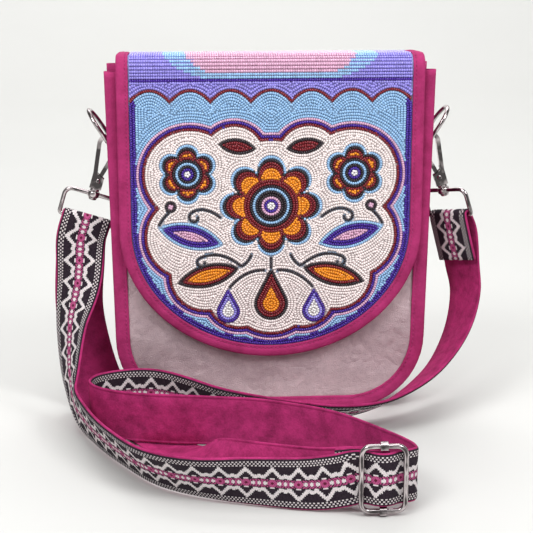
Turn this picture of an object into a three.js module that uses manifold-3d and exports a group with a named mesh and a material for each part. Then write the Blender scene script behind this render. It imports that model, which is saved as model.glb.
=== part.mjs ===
// A crossbody bag with a bead-embroidered flap, bound seams, two swivel hooks and an adjustable strap.
// Millimetres, +Z up. The bag faces -Y, stands on its bottom, and its origin is the middle of that bottom.
import * as THREE from "three";
import { mergeVertices } from "three/addons/utils/BufferGeometryUtils.js";
import Module from "manifold-3d";

const wasm = await Module();
wasm.setup();

// Body
const bagTopHalf = 124;
const sideTaper = 5;
const bagHeight = 268;
const cornerRadius = 60;
const bagDepth = 48;
const leather = 1.8;
const suede = 1.2;
const bindingWidth = 11;
const gussetThickness = 1.4;
const frontTopDrop = 6;
const liningThickness = 0.8;
const fit = 0.3;

// Flap
const flapMargin = 9;
const flapHalf = bagTopHalf - flapMargin;
const flapStraight = 120;
const flapTurn = bagHeight - flapStraight;
const flapRoundness = 0.8826;
const flapBottom = flapTurn - flapHalf * flapRoundness;
const flapBindingWidth = 9;
const flapRise = 6;
const flapTopBack = bagHeight + flapRise;
const flapPitch = 4.5;
const flapTopFront = flapTopBack + flapPitch;
const flapStandOff = 3.7;
const flapBend = 11;
const beadHeight = 2;
const beadRow = 2.2;
const rowGap = 0.9;
const rowGroove = 0.7;
const flapEndSetback = 2;

// Beadwork: places and sizes in hundredths of the flap's half width, from the middle of its sides' lower ends
const beadUnit = flapHalf / 100;
const bandBase = 83.5;
const scallopRise = 8;
const scallopCount = 7;
const straightRows = 98;
const outerRows = 3;
const groundRows = 1;
const outlineWidth = 5.5;
const centreLobes = [[0, 15.7, 43.5], [0, -43.5, 27.8]];
const sideLobes = [
  [53, 36.5, 29.6],
  [54.8, -5.2, 27],
  [43.5, -32.2, 22.6],
  [20.9, -46.1, 20.9],
  [29.6, -15.7, 20.9],
  [24.3, 49.6, 19.1],
];
const rosette = { x: 0, z: 15.7, outer: 33.9, hollow: 0.3, petals: 8, eye: 10.4 };
const sideFlower = { x: 54.8, z: 37.4, outer: 20, hollow: 0.28, petals: 6, eye: 6.1 };
const leaves = [
  { name: "upper", from: [9.6, 53.9], to: [34.8, 57.4], width: 10.4 },
  { name: "middle", from: [31.3, -10.4], to: [74.8, 1.7], width: 17.4 },
  { name: "lower", from: [20.9, -26.1], to: [62.6, -36.5], width: 15.7 },
];
const centreDrop = { x: 0, top: -26.1, bottom: -62.6, half: 11.3 };
const sideDrop = { x: 28.7, top: -40, bottom: -64.3, half: 7.8 };
const berry = { x: 66.1, z: 15.7, radius: 3.9 };

// Snap, under the flap
const snapDrop = 56;
const snapHeight = flapTurn - snapDrop;
const snapRadius = 9;
const snapNoseRadius = 4;

// Ring tabs and D-rings
const ringInset = 1.5;
const ringBarX = bagTopHalf - ringInset;
const ringDrop = 55;
const ringBarZ = bagHeight - ringDrop;
const ringLean = 33;
const ringWire = 3.2;
const ringInside = 25;
const ringReach = 27;
const tabWidth = 13;
const tabShift = 4;
const tabDrop = 31;
const tabRootLow = ringBarZ - tabDrop;
const tabRootLength = 18;
const tabRootHigh = tabRootLow + tabRootLength;

// Swivel hooks
const hookShift = -7.5;
const hookLean = 17;
const hookThickness = 6;
const hookInner = 4.6;
const hookArm = 3.2;
const hookNoseDrop = 9;
const hookBaseTop = 26;
const hookBaseBottom = 38;
const hookBaseHalf = 4.6;
const rivetX = -0.6;
const rivetDrop = 31.5;
const rivetRadius = 1.1;
const rivetHeadRadius = 2;
const rivetHead = 0.8;
const gateTongue = 2.8;
const gateWidth = 3.2;
const gateThickness = 5;
const postRadius = 1.9;
const collarRadius = 3.6;
const eyeRadius = 4.6;
const eyeHeight = 4.6;
const loopWire = 3.4;
const loopInside = 39.6;
const loopHeight = 21;
const loopCorner = 2.2;
const loopTurnLeft = 0;
const loopTurnRight = 50;

// Strap and slider
const strapWidth = 38;
const webbingWidth = 36;
const suedeThickness = 1.4;
const webbingThickness = 1.1;
const strapEnd = 35;
const loopDrop = 14;
const sliderX = 63;
const sliderY = -229;
const sliderWire = 3.6;
const sliderWidth = 33;
const sliderHeight = 49.3;
const sliderCorner = 6;
const barSetback = 4;
const barRadius = 1.5;
const sliderCollar = 3.4;
const sliderCollarLength = 5;

const degrees = THREE.MathUtils.degToRad;
const bag = new THREE.Group();

// Materials
function finish(color, roughness, metalness = 0) {
  return new THREE.MeshStandardMaterial({ color: new THREE.Color(color), roughness, metalness });
}
const whiteLeather = () => finish("#e6e1dc", 0.45);
const magenta = () => finish("#ab3270", 0.8);
const nickel = () => finish("#c9c4c6", 0.2, 1);
const beads = (color) => finish(color, 0.3);
const cream = "#e1dad2";
const skyBlue = "#8cbee1";
const violet = "#46238c";
const periwinkle = "#968cd7";
const maroon = "#7d1923";
const orange = "#f09623";
const mauve = "#cd96b9";

// Solids
function solidOf(geometry) {
  const bare = geometry.clone();
  bare.deleteAttribute("normal");
  bare.deleteAttribute("uv");
  const merged = mergeVertices(bare, 1e-4);
  return new wasm.Manifold(
    new wasm.Mesh({
      numProp: 3,
      vertProperties: new Float32Array(merged.attributes.position.array),
      triVerts: new Uint32Array(merged.index.array),
    }),
  );
}

function geometryOf(solid) {
  const made = solid.getMesh();
  const geometry = new THREE.BufferGeometry();
  geometry.setAttribute("position", new THREE.BufferAttribute(made.vertProperties.slice(), 3));
  geometry.setIndex(new THREE.BufferAttribute(made.triVerts.slice(), 1));
  geometry.computeVertexNormals();
  return geometry;
}

const joined = (...geometries) => geometryOf(geometries.map(solidOf).reduce((a, b) => a.add(b)));
const cut = (geometry, ...tools) => {
  const blank = solidOf(geometry);
  return geometryOf(tools.map(solidOf).reduce((a, b) => a.subtract(b), blank));
};
const common = (a, b) => geometryOf(solidOf(a).intersect(solidOf(b)));

function piece(parent, name, geometry, material) {
  const mesh = new THREE.Mesh(geometry, material);
  mesh.name = name;
  parent.add(mesh);
  return mesh;
}

// A shape drawn in front view (x, z), made solid from y = from to y = to.
function slabY(shape, from, to, steps = 8) {
  const options = { depth: to - from, bevelEnabled: false, curveSegments: steps };
  return new THREE.ExtrudeGeometry(shape, options).rotateX(Math.PI / 2).translate(0, to, 0);
}

// A shape drawn in side view (y, z), made solid from x = from to x = to.
function slabX(shape, from, to) {
  const geometry = new THREE.ExtrudeGeometry(shape, { depth: to - from, bevelEnabled: false });
  const turn = new THREE.Matrix4().makeBasis(
    new THREE.Vector3(0, 1, 0),
    new THREE.Vector3(0, 0, 1),
    new THREE.Vector3(1, 0, 0),
  );
  return geometry.applyMatrix4(turn).translate(from, 0, 0);
}

// A round wire bent to a closed outline: outline(d) is the wire's centre line moved out by d.
function wireFrame(outline, wire) {
  const bevel = wire * 0.42;
  const flat = wire / 2 - bevel;
  const shape = new THREE.Shape(outline(flat));
  shape.holes.push(new THREE.Path(outline(-flat)));
  const geometry = new THREE.ExtrudeGeometry(shape, {
    depth: 2 * flat,
    bevelSize: bevel,
    bevelThickness: bevel,
    bevelSegments: 2,
    curveSegments: 6,
  });
  return geometry.translate(0, 0, -flat);
}

// A rounded rectangle's points, anticlockwise from its lower right side.
function roundedRectangle(halfWidth, halfHeight, radius) {
  const path = new THREE.Path();
  path.absarc(halfWidth - radius, radius - halfHeight, radius, -Math.PI / 2, 0);
  path.absarc(halfWidth - radius, halfHeight - radius, radius, 0, Math.PI / 2);
  path.absarc(radius - halfWidth, halfHeight - radius, radius, Math.PI / 2, Math.PI);
  path.absarc(radius - halfWidth, radius - halfHeight, radius, Math.PI, 1.5 * Math.PI);
  return path.getPoints(3);
}

// A solid of revolution about Z from half profile points (radius, z).
function turned(profile, sides = 20) {
  const points = profile.map(([r, z]) => new THREE.Vector2(r, z));
  return new THREE.LatheGeometry(points, sides).rotateX(Math.PI / 2);
}

function rod(radius, length, sides = 16) {
  return new THREE.CylinderGeometry(radius, radius, length, sides);
}

// Body outline
const bodyHalf = (z) => bagTopHalf - (sideTaper * (bagHeight - z)) / bagHeight;

// The U-shaped outline from its top left round the bottom to its top right, moved in by inset.
function bodyPath(inset, top) {
  const centre = bodyHalf(cornerRadius) - cornerRadius;
  const path = new THREE.Path();
  path.moveTo(inset - bodyHalf(top), top);
  path.lineTo(inset - bodyHalf(cornerRadius), cornerRadius);
  path.absarc(-centre, cornerRadius, cornerRadius - inset, Math.PI, 1.5 * Math.PI);
  path.absarc(centre, cornerRadius, cornerRadius - inset, 1.5 * Math.PI, 2 * Math.PI);
  path.lineTo(bodyHalf(top) - inset, top);
  return path.getPoints(6);
}

const bodyPanel = (inset, top) => new THREE.Shape(bodyPath(inset, top));
const bodyStrip = (outer, inner, top) =>
  new THREE.Shape([...bodyPath(outer, top), ...bodyPath(inner, top).reverse()]);

const faceY = bagDepth / 2;
const edgeInset = suede + fit;
const wallInset = bindingWidth + fit;
const seamInset = wallInset + gussetThickness;
const panelBack = faceY - leather;
const flangeBack = panelBack - suede;
const frontTop = bagHeight - frontTopDrop;
const hingeY = faceY - leather / 2;
const backTop = flapTopBack - leather / 2 - fit;

// Panels: the back one rises to the flap's hinge between the bound seams.
piece(bag, "front_panel", slabY(bodyPanel(edgeInset, frontTop), -faceY, -panelBack), whiteLeather());
const backRise = new THREE.Shape();
const riseHalf = bodyHalf(bagHeight) - bindingWidth - fit;
backRise.moveTo(-riseHalf, frontTop - fit);
backRise.lineTo(riseHalf, frontTop - fit);
backRise.lineTo(riseHalf, backTop);
backRise.lineTo(-riseHalf, backTop);
piece(
  bag,
  "back_panel",
  joined(slabY(bodyPanel(edgeInset, frontTop), panelBack, faceY), slabY(backRise, panelBack, faceY)),
  whiteLeather(),
);

// The gusset, with its edges turned out as flanges against the panels.
const flange = bodyStrip(edgeInset + fit, seamInset, frontTop);
piece(
  bag,
  "gusset",
  joined(
    slabY(bodyStrip(wallInset, seamInset, frontTop), -panelBack, panelBack),
    slabY(flange, -panelBack, -flangeBack),
    slabY(flange, flangeBack, panelBack),
  ),
  magenta(),
);

// A binding folded over a seam: a strip on the face, round the rim, and a strip behind.
function seamBinding(side) {
  const stack = (from, to) => [Math.min(side * from, side * to), Math.max(side * from, side * to)];
  return joined(
    slabY(bodyStrip(0, bindingWidth, bagHeight), ...stack(faceY, faceY + suede)),
    slabY(bodyStrip(0, suede, bagHeight), ...stack(flangeBack - suede, faceY + suede)),
    slabY(bodyStrip(0, bindingWidth, bagHeight), ...stack(flangeBack - suede, flangeBack)),
  );
}
piece(bag, "front_binding", seamBinding(-1), magenta());
piece(bag, "back_binding", seamBinding(1), magenta());

// Binding folded over the front panel's top edge.
const hemHalf = bodyHalf(frontTop) - seamInset - fit;
const hem = new THREE.Shape();
hem.moveTo(-faceY - suede, frontTop - bindingWidth);
hem.lineTo(-faceY, frontTop - bindingWidth);
hem.lineTo(-faceY, frontTop);
hem.lineTo(-panelBack, frontTop);
hem.lineTo(-panelBack, frontTop - bindingWidth);
hem.lineTo(-flangeBack, frontTop - bindingWidth);
hem.lineTo(-flangeBack, frontTop + suede);
hem.lineTo(-faceY - suede, frontTop + suede);
piece(bag, "front_top_binding", slabX(hem, -hemHalf, hemHalf), magenta());

// Lining: a pouch open at the top, inside the gusset and panels and below the front hem.
const liningTop = frontTop - bindingWidth - fit;
const liningInset = seamInset + fit;
const liningFace = panelBack - fit;
piece(
  bag,
  "lining_pouch",
  cut(
    slabY(bodyPanel(liningInset, liningTop), -liningFace, liningFace),
    slabY(
      bodyPanel(liningInset + liningThickness, liningTop + fit),
      liningThickness - liningFace,
      liningFace - liningThickness,
    ),
  ),
  finish("#b8487f", 0.85),
);

// Flap: a sheet bent over the top. Its middle line runs from the hinge forward, round the bend and down.
const flapFrontY = -faceY - suede - flapStandOff + leather / 2;
const topDirection = new THREE.Vector2(flapFrontY - hingeY, flapTopFront - flapTopBack).normalize();

function flapPath(setback) {
  const corner = new THREE.Vector2(flapFrontY, flapTopFront);
  const bendStart = corner.clone().addScaledVector(topDirection, -flapBend);
  const path = new THREE.Path();
  path.moveTo(hingeY + topDirection.x * setback, flapTopBack + topDirection.y * setback);
  path.lineTo(bendStart.x, bendStart.y);
  path.quadraticCurveTo(corner.x, corner.y, flapFrontY, flapTopFront - flapBend);
  path.lineTo(flapFrontY, flapBottom - bindingWidth);
  return path;
}

// The sheet's side profile between two distances from its middle line, outwards positive.
function flapProfile(inner, outer, setback) {
  const line = flapPath(setback).getPoints(8);
  const normals = line.map((p, i) => {
    const a = line[Math.max(i - 1, 0)];
    const b = line[Math.min(i + 1, line.length - 1)];
    return new THREE.Vector2(b.y - a.y, a.x - b.x).normalize();
  });
  const offset = (d) => line.map((p, i) => p.clone().addScaledVector(normals[i], d));
  return [offset(outer), offset(inner).reverse()];
}

function flapSheet(inner, outer, setback, half) {
  const [out, back] = flapProfile(inner, outer, setback);
  return slabX(new THREE.Shape([...out, ...back]), -half, half);
}

// The flap's front outline, moved in by inset: straight sides and a half ellipse below.
function flapOutline(inset) {
  const top = flapTopFront + flapBend;
  const shape = new THREE.Shape();
  shape.moveTo(flapHalf - inset, top);
  shape.lineTo(inset - flapHalf, top);
  shape.lineTo(inset - flapHalf, flapTurn);
  shape.absellipse(0, flapTurn, flapHalf - inset, flapTurn - flapBottom - inset, Math.PI, 2 * Math.PI);
  return shape;
}

const flapReach = -flapFrontY + bagDepth;
const through = (shape, steps = 12) => slabY(shape, -flapReach, flapReach, steps);
const flap = new THREE.Group();
bag.add(flap);

const hingeRoll = rod(leather / 2, 2 * (flapHalf - suede - fit), 12).rotateZ(Math.PI / 2);
hingeRoll.translate(0, hingeY, flapTopBack);
const flapLeatherSheet = common(
  flapSheet(-leather / 2, leather / 2, 0, flapHalf - suede - fit),
  through(flapOutline(suede + fit)),
);
piece(flap, "flap_leather", joined(flapLeatherSheet, hingeRoll), magenta());

const bindingFace = leather / 2 + beadHeight;
const bindingBlank = common(
  flapSheet(-leather / 2 - fit - suede, bindingFace, flapEndSetback, flapHalf),
  cut(through(flapOutline(0)), through(flapOutline(flapBindingWidth))),
);
piece(
  flap,
  "flap_binding",
  cut(
    bindingBlank,
    common(
      flapSheet(-leather / 2 - fit, leather / 2 + fit, -flapEndSetback, flapHalf - suede),
      through(flapOutline(suede)),
    ),
  ),
  magenta(),
);

// Beadwork fields: flat slabs on the flap's front, and one that goes over the top.
const beadInset = flapBindingWidth + fit;
const beadBack = flapFrontY - leather / 2 - fit;
const beadFront = flapFrontY - bindingFace;
const field = (shape, steps = 8) => slabY(shape, beadFront, beadBack, steps);
const tool = (shape, steps = 8) => slabY(shape, beadFront - 1, beadBack + 1, steps);
const sides = [
  ["left", -1],
  ["right", 1],
];

// A disc, grown by grow. Its place and radius, like those of every motif, are in bead units.
const across = (share) => share * beadUnit;
const up = (share) => flapTurn + share * beadUnit;

function disc(x, z, radius, grow) {
  const shape = new THREE.Shape();
  shape.absarc(across(x), up(z), across(radius) + grow, 0, 2 * Math.PI);
  return shape;
}

// A flower's scalloped outline, grown by grow.
function flower({ x, z, outer, hollow, petals }, grow) {
  const points = [];
  const steps = petals * 6;
  for (let i = 0; i < steps; i += 1) {
    const angle = (2 * Math.PI * i) / steps;
    const lobe = Math.abs(Math.cos((petals * angle) / 2)) ** 0.6;
    const r = across(outer) * (1 - hollow + hollow * lobe) + grow;
    points.push(new THREE.Vector2(across(x) + r * Math.sin(angle), up(z) + r * Math.cos(angle)));
  }
  return new THREE.Shape(points);
}

// A pointed leaf between two points, grown by grow.
function leaf({ from, to, width }, side, grow) {
  const a = new THREE.Vector2(side * across(from[0]), up(from[1]));
  const b = new THREE.Vector2(side * across(to[0]), up(to[1]));
  const along = b.clone().sub(a).normalize();
  const aside = new THREE.Vector2(-along.y, along.x);
  a.addScaledVector(along, -grow);
  b.addScaledVector(along, grow);
  const middle = a.clone().add(b).multiplyScalar(0.5);
  const bulge = across(width) + 2 * grow;
  const one = middle.clone().addScaledVector(aside, bulge);
  const two = middle.clone().addScaledVector(aside, -bulge);
  const shape = new THREE.Shape();
  shape.moveTo(a.x, a.y);
  shape.quadraticCurveTo(two.x, two.y, b.x, b.y);
  shape.quadraticCurveTo(one.x, one.y, a.x, a.y);
  return shape;
}

// A drop with its round end low, grown by grow.
function drop({ x, top, bottom, half }, side, grow) {
  const centre = up(bottom + half);
  const radius = across(half) + grow;
  const shape = new THREE.Shape();
  shape.moveTo(side * across(x), up(top) + grow);
  shape.lineTo(side * across(x) - radius, centre);
  shape.absarc(side * across(x), centre, radius, Math.PI, 2 * Math.PI);
  return shape;
}

const motifs = [
  ["bead_rosette", (g) => flower(rosette, g), orange],
  ["bead_centre_drop", (g) => drop(centreDrop, 1, g), maroon],
];
sides.forEach(([word, side]) => {
  const mirrored = { ...sideFlower, x: side * sideFlower.x };
  motifs.push([`bead_flower_${word}`, (g) => flower(mirrored, g), maroon]);
  motifs.push([`bead_drop_${word}`, (g) => drop(sideDrop, side, g), orange]);
  motifs.push([`bead_berry_${word}`, (g) => disc(side * berry.x, berry.z, berry.radius, g), mauve]);
  leaves.forEach((l) => motifs.push([`bead_leaf_${l.name}_${word}`, (g) => leaf(l, side, g), violet]));
});
const eyes = [["bead_rosette_eye", (g) => disc(rosette.x, rosette.z, rosette.eye, g), violet]];
sides.forEach(([word, side]) => {
  const eye = (g) => disc(side * sideFlower.x, sideFlower.z, sideFlower.eye, g);
  eyes.push([`bead_flower_eye_${word}`, eye, orange]);
});
const eyeTools = eyes.map(([, shape]) => tool(shape(fit)));
motifs.forEach(([name, shape, color]) => piece(flap, name, cut(field(shape(0)), ...eyeTools), beads(color)));
eyes.forEach(([name, shape, color]) => piece(flap, name, field(shape(0)), beads(color)));

// The medallion is the union of its lobes; the ground fills it and two offset outlines run round it.
function medallion(grow) {
  const lobes = centreLobes.map(([x, z, r]) => tool(disc(x, z, r, grow), 10));
  sides.forEach(([, side]) => {
    sideLobes.forEach(([x, z, r]) => lobes.push(tool(disc(side * x, z, r, grow), 10)));
  });
  return joined(...lobes);
}

// The lower edge of the top band, a row of scallops, moved down by drop.
function topBand(lower) {
  const half = flapHalf - beadInset;
  const pitch = (2 * half) / scallopCount;
  const shape = new THREE.Shape();
  shape.moveTo(half, flapTopFront + flapBend);
  shape.lineTo(-half, flapTopFront + flapBend);
  const base = up(bandBase) - lower;
  shape.lineTo(-half, base);
  for (let i = 0; i < scallopCount; i += 1) {
    const x = -half + i * pitch;
    shape.quadraticCurveTo(x + pitch / 2, base + 2 * across(scallopRise), x + pitch, base);
  }
  return shape;
}

// The beaded sheet over the top: straight rows across it, each a ridge, with a groove between every two.
function ridgedSheet(inner, outer, setback, half) {
  const path = flapPath(setback);
  const length = path.getLength();
  const rowsEnd = length - (up(straightRows) - flapBottom + bindingWidth);
  const outside = (at, distance) => {
    const ahead = path.getTangent(at / length);
    const normal = new THREE.Vector2(ahead.y, -ahead.x);
    return path.getPoint(at / length).addScaledVector(normal, distance);
  };
  const out = [outside(0, outer)];
  for (let i = Math.floor(rowsEnd / beadRow - 0.5); i >= 0; i -= 1) {
    const groove = rowsEnd - i * beadRow;
    out.push(outside(groove - rowGap / 2, outer));
    out.push(outside(groove, outer - rowGroove));
    out.push(outside(groove + rowGap / 2, outer));
  }
  out.push(outside(length, outer));
  const back = flapProfile(inner, outer, setback)[1];
  return slabX(new THREE.Shape([...out, ...back]), -half, half);
}

const beadPanel = through(flapOutline(beadInset));
const frontBlank = common(field(flapOutline(beadInset), 12), beadPanel);
const belowBand = cut(frontBlank, tool(topBand(fit)));
piece(
  flap,
  "bead_top_band",
  common(
    common(ridgedSheet(leather / 2 + fit, bindingFace, flapEndSetback, flapHalf - beadInset), beadPanel),
    through(topBand(0)),
  ),
  beads(periwinkle),
);

// The outer field's rows follow its edges, with a groove between every two.
function outerField(inset) {
  const blank = field(flapOutline(beadInset + inset), 12);
  return cut(blank, tool(topBand(fit + inset)), medallion(across(outlineWidth) + fit + inset));
}

const groovePlane = slabY(flapOutline(0), beadFront - 1, beadFront + rowGroove);
const outerGrooves = [];
for (let i = 1; i <= outerRows; i += 1) {
  const ring = cut(outerField(i * beadRow - rowGap / 3), outerField(i * beadRow + rowGap / 3));
  outerGrooves.push(common(ring, groovePlane));
}
piece(flap, "bead_outer_field", cut(outerField(0), ...outerGrooves), beads(skyBlue));
const outlineBlank = common(belowBand, medallion(across(outlineWidth)));
piece(flap, "bead_outline", cut(outlineBlank, medallion(fit)), beads(violet));

// The ground's rows follow the medallion's edge and the motifs.
function groundField(inset) {
  const grown = motifs.map(([, shape]) => tool(shape(fit + inset)));
  return cut(common(belowBand, medallion(-inset)), ...grown);
}

const groundGrooves = [];
for (let i = 1; i <= groundRows; i += 1) {
  const ring = cut(groundField(i * beadRow - rowGap / 3), groundField(i * beadRow + rowGap / 3));
  groundGrooves.push(common(ring, groovePlane));
}
piece(flap, "bead_ground", cut(groundField(0), ...groundGrooves), beads(cream));

// Magnetic snap: a socket on the front panel and a stud on the flap's inside.
const snapGap = -faceY - (flapFrontY + leather / 2);
const snapHalf = (snapGap - fit) / 2;
const toFront = (geometry, y) => geometry.rotateX(Math.PI / 2).translate(0, y, snapHeight);
const socket = turned([
  [snapNoseRadius + fit, 0],
  [snapRadius, 0],
  [snapRadius, snapHalf],
  [snapNoseRadius + fit, snapHalf],
  [snapNoseRadius + fit, 0],
]);
piece(bag, "snap_socket", toFront(socket, -faceY), nickel());
const stud = turned([
  [0, 0],
  [snapNoseRadius, 0],
  [snapNoseRadius, snapHalf],
  [snapRadius, snapHalf],
  [snapRadius, 2 * snapHalf],
  [0, 2 * snapHalf],
]);
piece(flap, "snap_stud", toFront(stud, -faceY - fit), nickel());

// Ring tabs: folded leather sewn to the gusset, with an eye round the ring's bar.
const gussetX = (z) => bodyHalf(z) - wallInset;
const tabEye = ringWire / 2 + fit;
const tabOuter = tabEye + leather;

function ringTab(shift) {
  const root = gussetX(tabRootHigh) + fit;
  const shape = new THREE.Shape();
  shape.moveTo(root, tabRootLow);
  shape.lineTo(root + 2 * leather, tabRootLow);
  shape.lineTo(root + 2 * leather, tabRootHigh - leather);
  shape.lineTo(ringBarX + tabOuter * 0.7, ringBarZ - tabOuter * 0.7);
  shape.lineTo(ringBarX - tabOuter * 0.7, ringBarZ + tabOuter * 0.7);
  shape.lineTo(root, tabRootHigh);
  const eye = rod(tabOuter, tabWidth).translate(ringBarX, 0, ringBarZ);
  const hole = rod(tabEye, 2 * tabWidth).translate(ringBarX, 0, ringBarZ);
  return cut(joined(slabY(shape, -tabWidth / 2, tabWidth / 2), eye), hole).translate(0, shift, 0);
}

// D-ring: its straight bar on Y at the origin, its bow reaching up to +Z.
function ringOutline(grow) {
  const half = ringInside / 2 + ringWire / 2 + grow;
  const path = new THREE.Path();
  const low = -grow;
  const centre = ringReach - ringInside / 2 - ringWire / 2;
  path.absarc(half - ringWire, low + ringWire, ringWire, -Math.PI / 2, 0);
  path.absarc(0, centre, half, 0, Math.PI);
  path.absarc(ringWire - half, low + ringWire, ringWire, Math.PI, 1.5 * Math.PI);
  return path.getPoints(6);
}

// Hook: origin on the ring's bar, its arm to +X (outwards), its base below.
const bowDrop = hookInner - ringWire / 2 - fit;
const hookOuter = hookInner + hookArm;

function hookBody() {
  const shape = new THREE.Shape();
  shape.absarc(0, -bowDrop, hookOuter, Math.PI, 0, true);
  shape.lineTo(hookBaseHalf, -hookBaseTop);
  shape.lineTo(hookBaseHalf, -hookBaseBottom);
  shape.lineTo(-hookBaseHalf, -hookBaseBottom);
  shape.lineTo(-hookBaseHalf, -hookBaseTop - hookArm);
  shape.lineTo(hookBaseHalf - hookArm, -hookBaseTop);
  shape.lineTo(hookInner, -bowDrop);
  shape.absarc(0, -bowDrop, hookInner, 0, Math.PI, false);
  shape.lineTo(-hookInner, -hookNoseDrop);
  shape.lineTo(-hookOuter, -hookNoseDrop);
  const blank = slabY(shape, -hookThickness / 2, hookThickness / 2, 10);
  const slot = new THREE.Shape();
  const clear = gateWidth / 2 + 1.5 * fit;
  slot.moveTo(rivetX + clear + 1, -hookBaseTop + hookArm);
  slot.lineTo(-hookOuter, -hookBaseTop + hookArm);
  slot.lineTo(-hookOuter, -rivetDrop - clear);
  slot.lineTo(rivetX + clear, -rivetDrop - clear);
  const slotHalf = gateTongue / 2 + fit;
  const hole = rod(rivetRadius + fit / 2, 2 * hookThickness).translate(rivetX, 0, -rivetDrop);
  return cut(blank, slabY(slot, -slotHalf, slotHalf), hole);
}

// Gate: a tongue on the rivet that widens to a lever and ends under the hook's nose.
function hookGate() {
  const tip = new THREE.Vector2(-(hookInner + hookOuter) / 2, -hookNoseDrop - fit);
  const foot = new THREE.Vector2(rivetX, -rivetDrop);
  const along = tip.clone().sub(foot).normalize();
  const across = new THREE.Vector2(-along.y, along.x).multiplyScalar(gateWidth / 2);
  const start = foot.clone().addScaledVector(along, hookArm * 2.4);
  const bar = (from, to) => {
    const shape = new THREE.Shape();
    shape.moveTo(from.x - across.x, from.y - across.y);
    shape.lineTo(to.x - across.x, to.y - (across.y < 0 ? 0 : across.y));
    shape.lineTo(to.x + across.x, to.y - (across.y < 0 ? -across.y : 0));
    shape.lineTo(from.x + across.x, from.y + across.y);
    return shape;
  };
  const end = tip.clone().addScaledVector(along, -gateWidth / 2);
  const lever = slabY(bar(start, end), -gateThickness / 2, gateThickness / 2);
  const tongue = slabY(bar(foot, end), -gateTongue / 2, gateTongue / 2);
  const knuckle = rod(gateWidth / 2, gateTongue).translate(foot.x, 0, foot.y);
  const hole = rod(rivetRadius + fit / 2, 2 * hookThickness).translate(foot.x, 0, foot.y);
  return cut(joined(lever, tongue, knuckle), hole);
}

function gateRivet() {
  const end = hookThickness / 2 + fit / 2;
  const profile = [
    [0, -end - rivetHead],
    [rivetHeadRadius * 0.6, -end - rivetHead],
    [rivetHeadRadius, -end],
    [rivetRadius, -end],
    [rivetRadius, end],
    [rivetHeadRadius, end],
    [rivetHeadRadius * 0.6, end + rivetHead],
    [0, end + rivetHead],
  ];
  return turned(profile, 16).rotateX(Math.PI / 2).translate(rivetX, 0, -rivetDrop);
}

// Swivel post: a collar under the hook's base, a shank through the loop's eye, and a riveted foot.
const eyeTop = hookBaseBottom + fit + collarRadius / 2 + fit;
const eyeBottom = eyeTop + eyeHeight;

function swivelPost() {
  const profile = [
    [0, -eyeBottom - fit - collarRadius / 2],
    [collarRadius * 0.8, -eyeBottom - fit - collarRadius / 2],
    [collarRadius, -eyeBottom - fit],
    [postRadius, -eyeBottom - fit],
    [postRadius, -eyeTop + fit],
    [collarRadius, -eyeTop + fit],
    [collarRadius, -hookBaseBottom - fit],
    [0, -hookBaseBottom - fit],
  ];
  return turned(profile, 16);
}

// Strap loop: a square wire loop with an eye on the post.
const loopTopLine = eyeTop + eyeHeight / 2;
const loopBarDrop = loopTopLine + loopHeight;

function strapLoop() {
  const half = loopInside / 2 + loopWire / 2;
  const outline = (d) => roundedRectangle(half + d, loopHeight / 2 + d, loopCorner + d);
  const wire = wireFrame(outline, loopWire).rotateX(Math.PI / 2);
  wire.translate(0, 0, -loopTopLine - loopHeight / 2);
  const eye = rod(eyeRadius, eyeHeight).rotateX(Math.PI / 2).translate(0, 0, -loopTopLine);
  const hole = rod(postRadius + fit / 2, 4 * eyeHeight).rotateX(Math.PI / 2).translate(0, 0, -loopTopLine);
  return cut(joined(wire, eye), hole);
}

const loopTurns = { left: loopTurnLeft, right: loopTurnRight };
sides.forEach(([word, side]) => {
  const flank = new THREE.Group();
  flank.rotation.z = side < 0 ? Math.PI : 0;
  bag.add(flank);
  piece(flank, `ring_tab_${word}`, ringTab(side * tabShift), magenta());

  const ring = new THREE.Group();
  ring.position.set(ringBarX, 0, ringBarZ);
  ring.rotation.y = degrees(ringLean);
  flank.add(ring);
  const ringBody = wireFrame(ringOutline, ringWire).rotateX(Math.PI / 2).rotateZ(Math.PI / 2);
  piece(ring, `d_ring_${word}`, ringBody, nickel());

  const hook = new THREE.Group();
  hook.position.set(ringBarX, side * hookShift, ringBarZ);
  hook.rotation.y = -degrees(hookLean);
  flank.add(hook);
  piece(hook, `hook_${word}`, hookBody(), nickel());
  piece(hook, `hook_gate_${word}`, hookGate(), nickel());
  piece(hook, `gate_rivet_${word}`, gateRivet(), nickel());
  piece(hook, `swivel_post_${word}`, swivelPost(), nickel());
  const loop = piece(hook, `strap_loop_${word}`, strapLoop(), nickel());
  loop.rotation.z = -degrees(loopTurns[word]);
});

// Slider: a wire frame, and a bar behind the strap with a collar round each long side of the frame.
const sliderMiddle = sliderCollar + 0.2 + (sliderHeight - sliderWire) / 2;
const slider = new THREE.Group();
slider.position.set(sliderX, sliderY, sliderMiddle);
bag.add(slider);
const sliderOutline = (d) =>
  roundedRectangle((sliderWidth - sliderWire) / 2 + d, (sliderHeight - sliderWire) / 2 + d, sliderCorner + d);
piece(slider, "slider_frame", wireFrame(sliderOutline, sliderWire).rotateX(Math.PI / 2), nickel());
const longSide = (sliderHeight - sliderWire) / 2;
const collarAt = (z, radius, length) => rod(radius, length, 20).rotateZ(Math.PI / 2).translate(0, 0, z);
const barBlank = joined(
  rod(barRadius, 2 * longSide).rotateX(Math.PI / 2).translate(0, barSetback, 0),
  collarAt(longSide, sliderCollar, sliderCollarLength),
  collarAt(-longSide, sliderCollar, sliderCollarLength),
);
piece(
  slider,
  "slider_bar",
  cut(
    barBlank,
    collarAt(longSide, sliderWire / 2 + fit, sliderWidth),
    collarAt(-longSide, sliderWire / 2 + fit, sliderWidth),
  ),
  nickel(),
);

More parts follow.
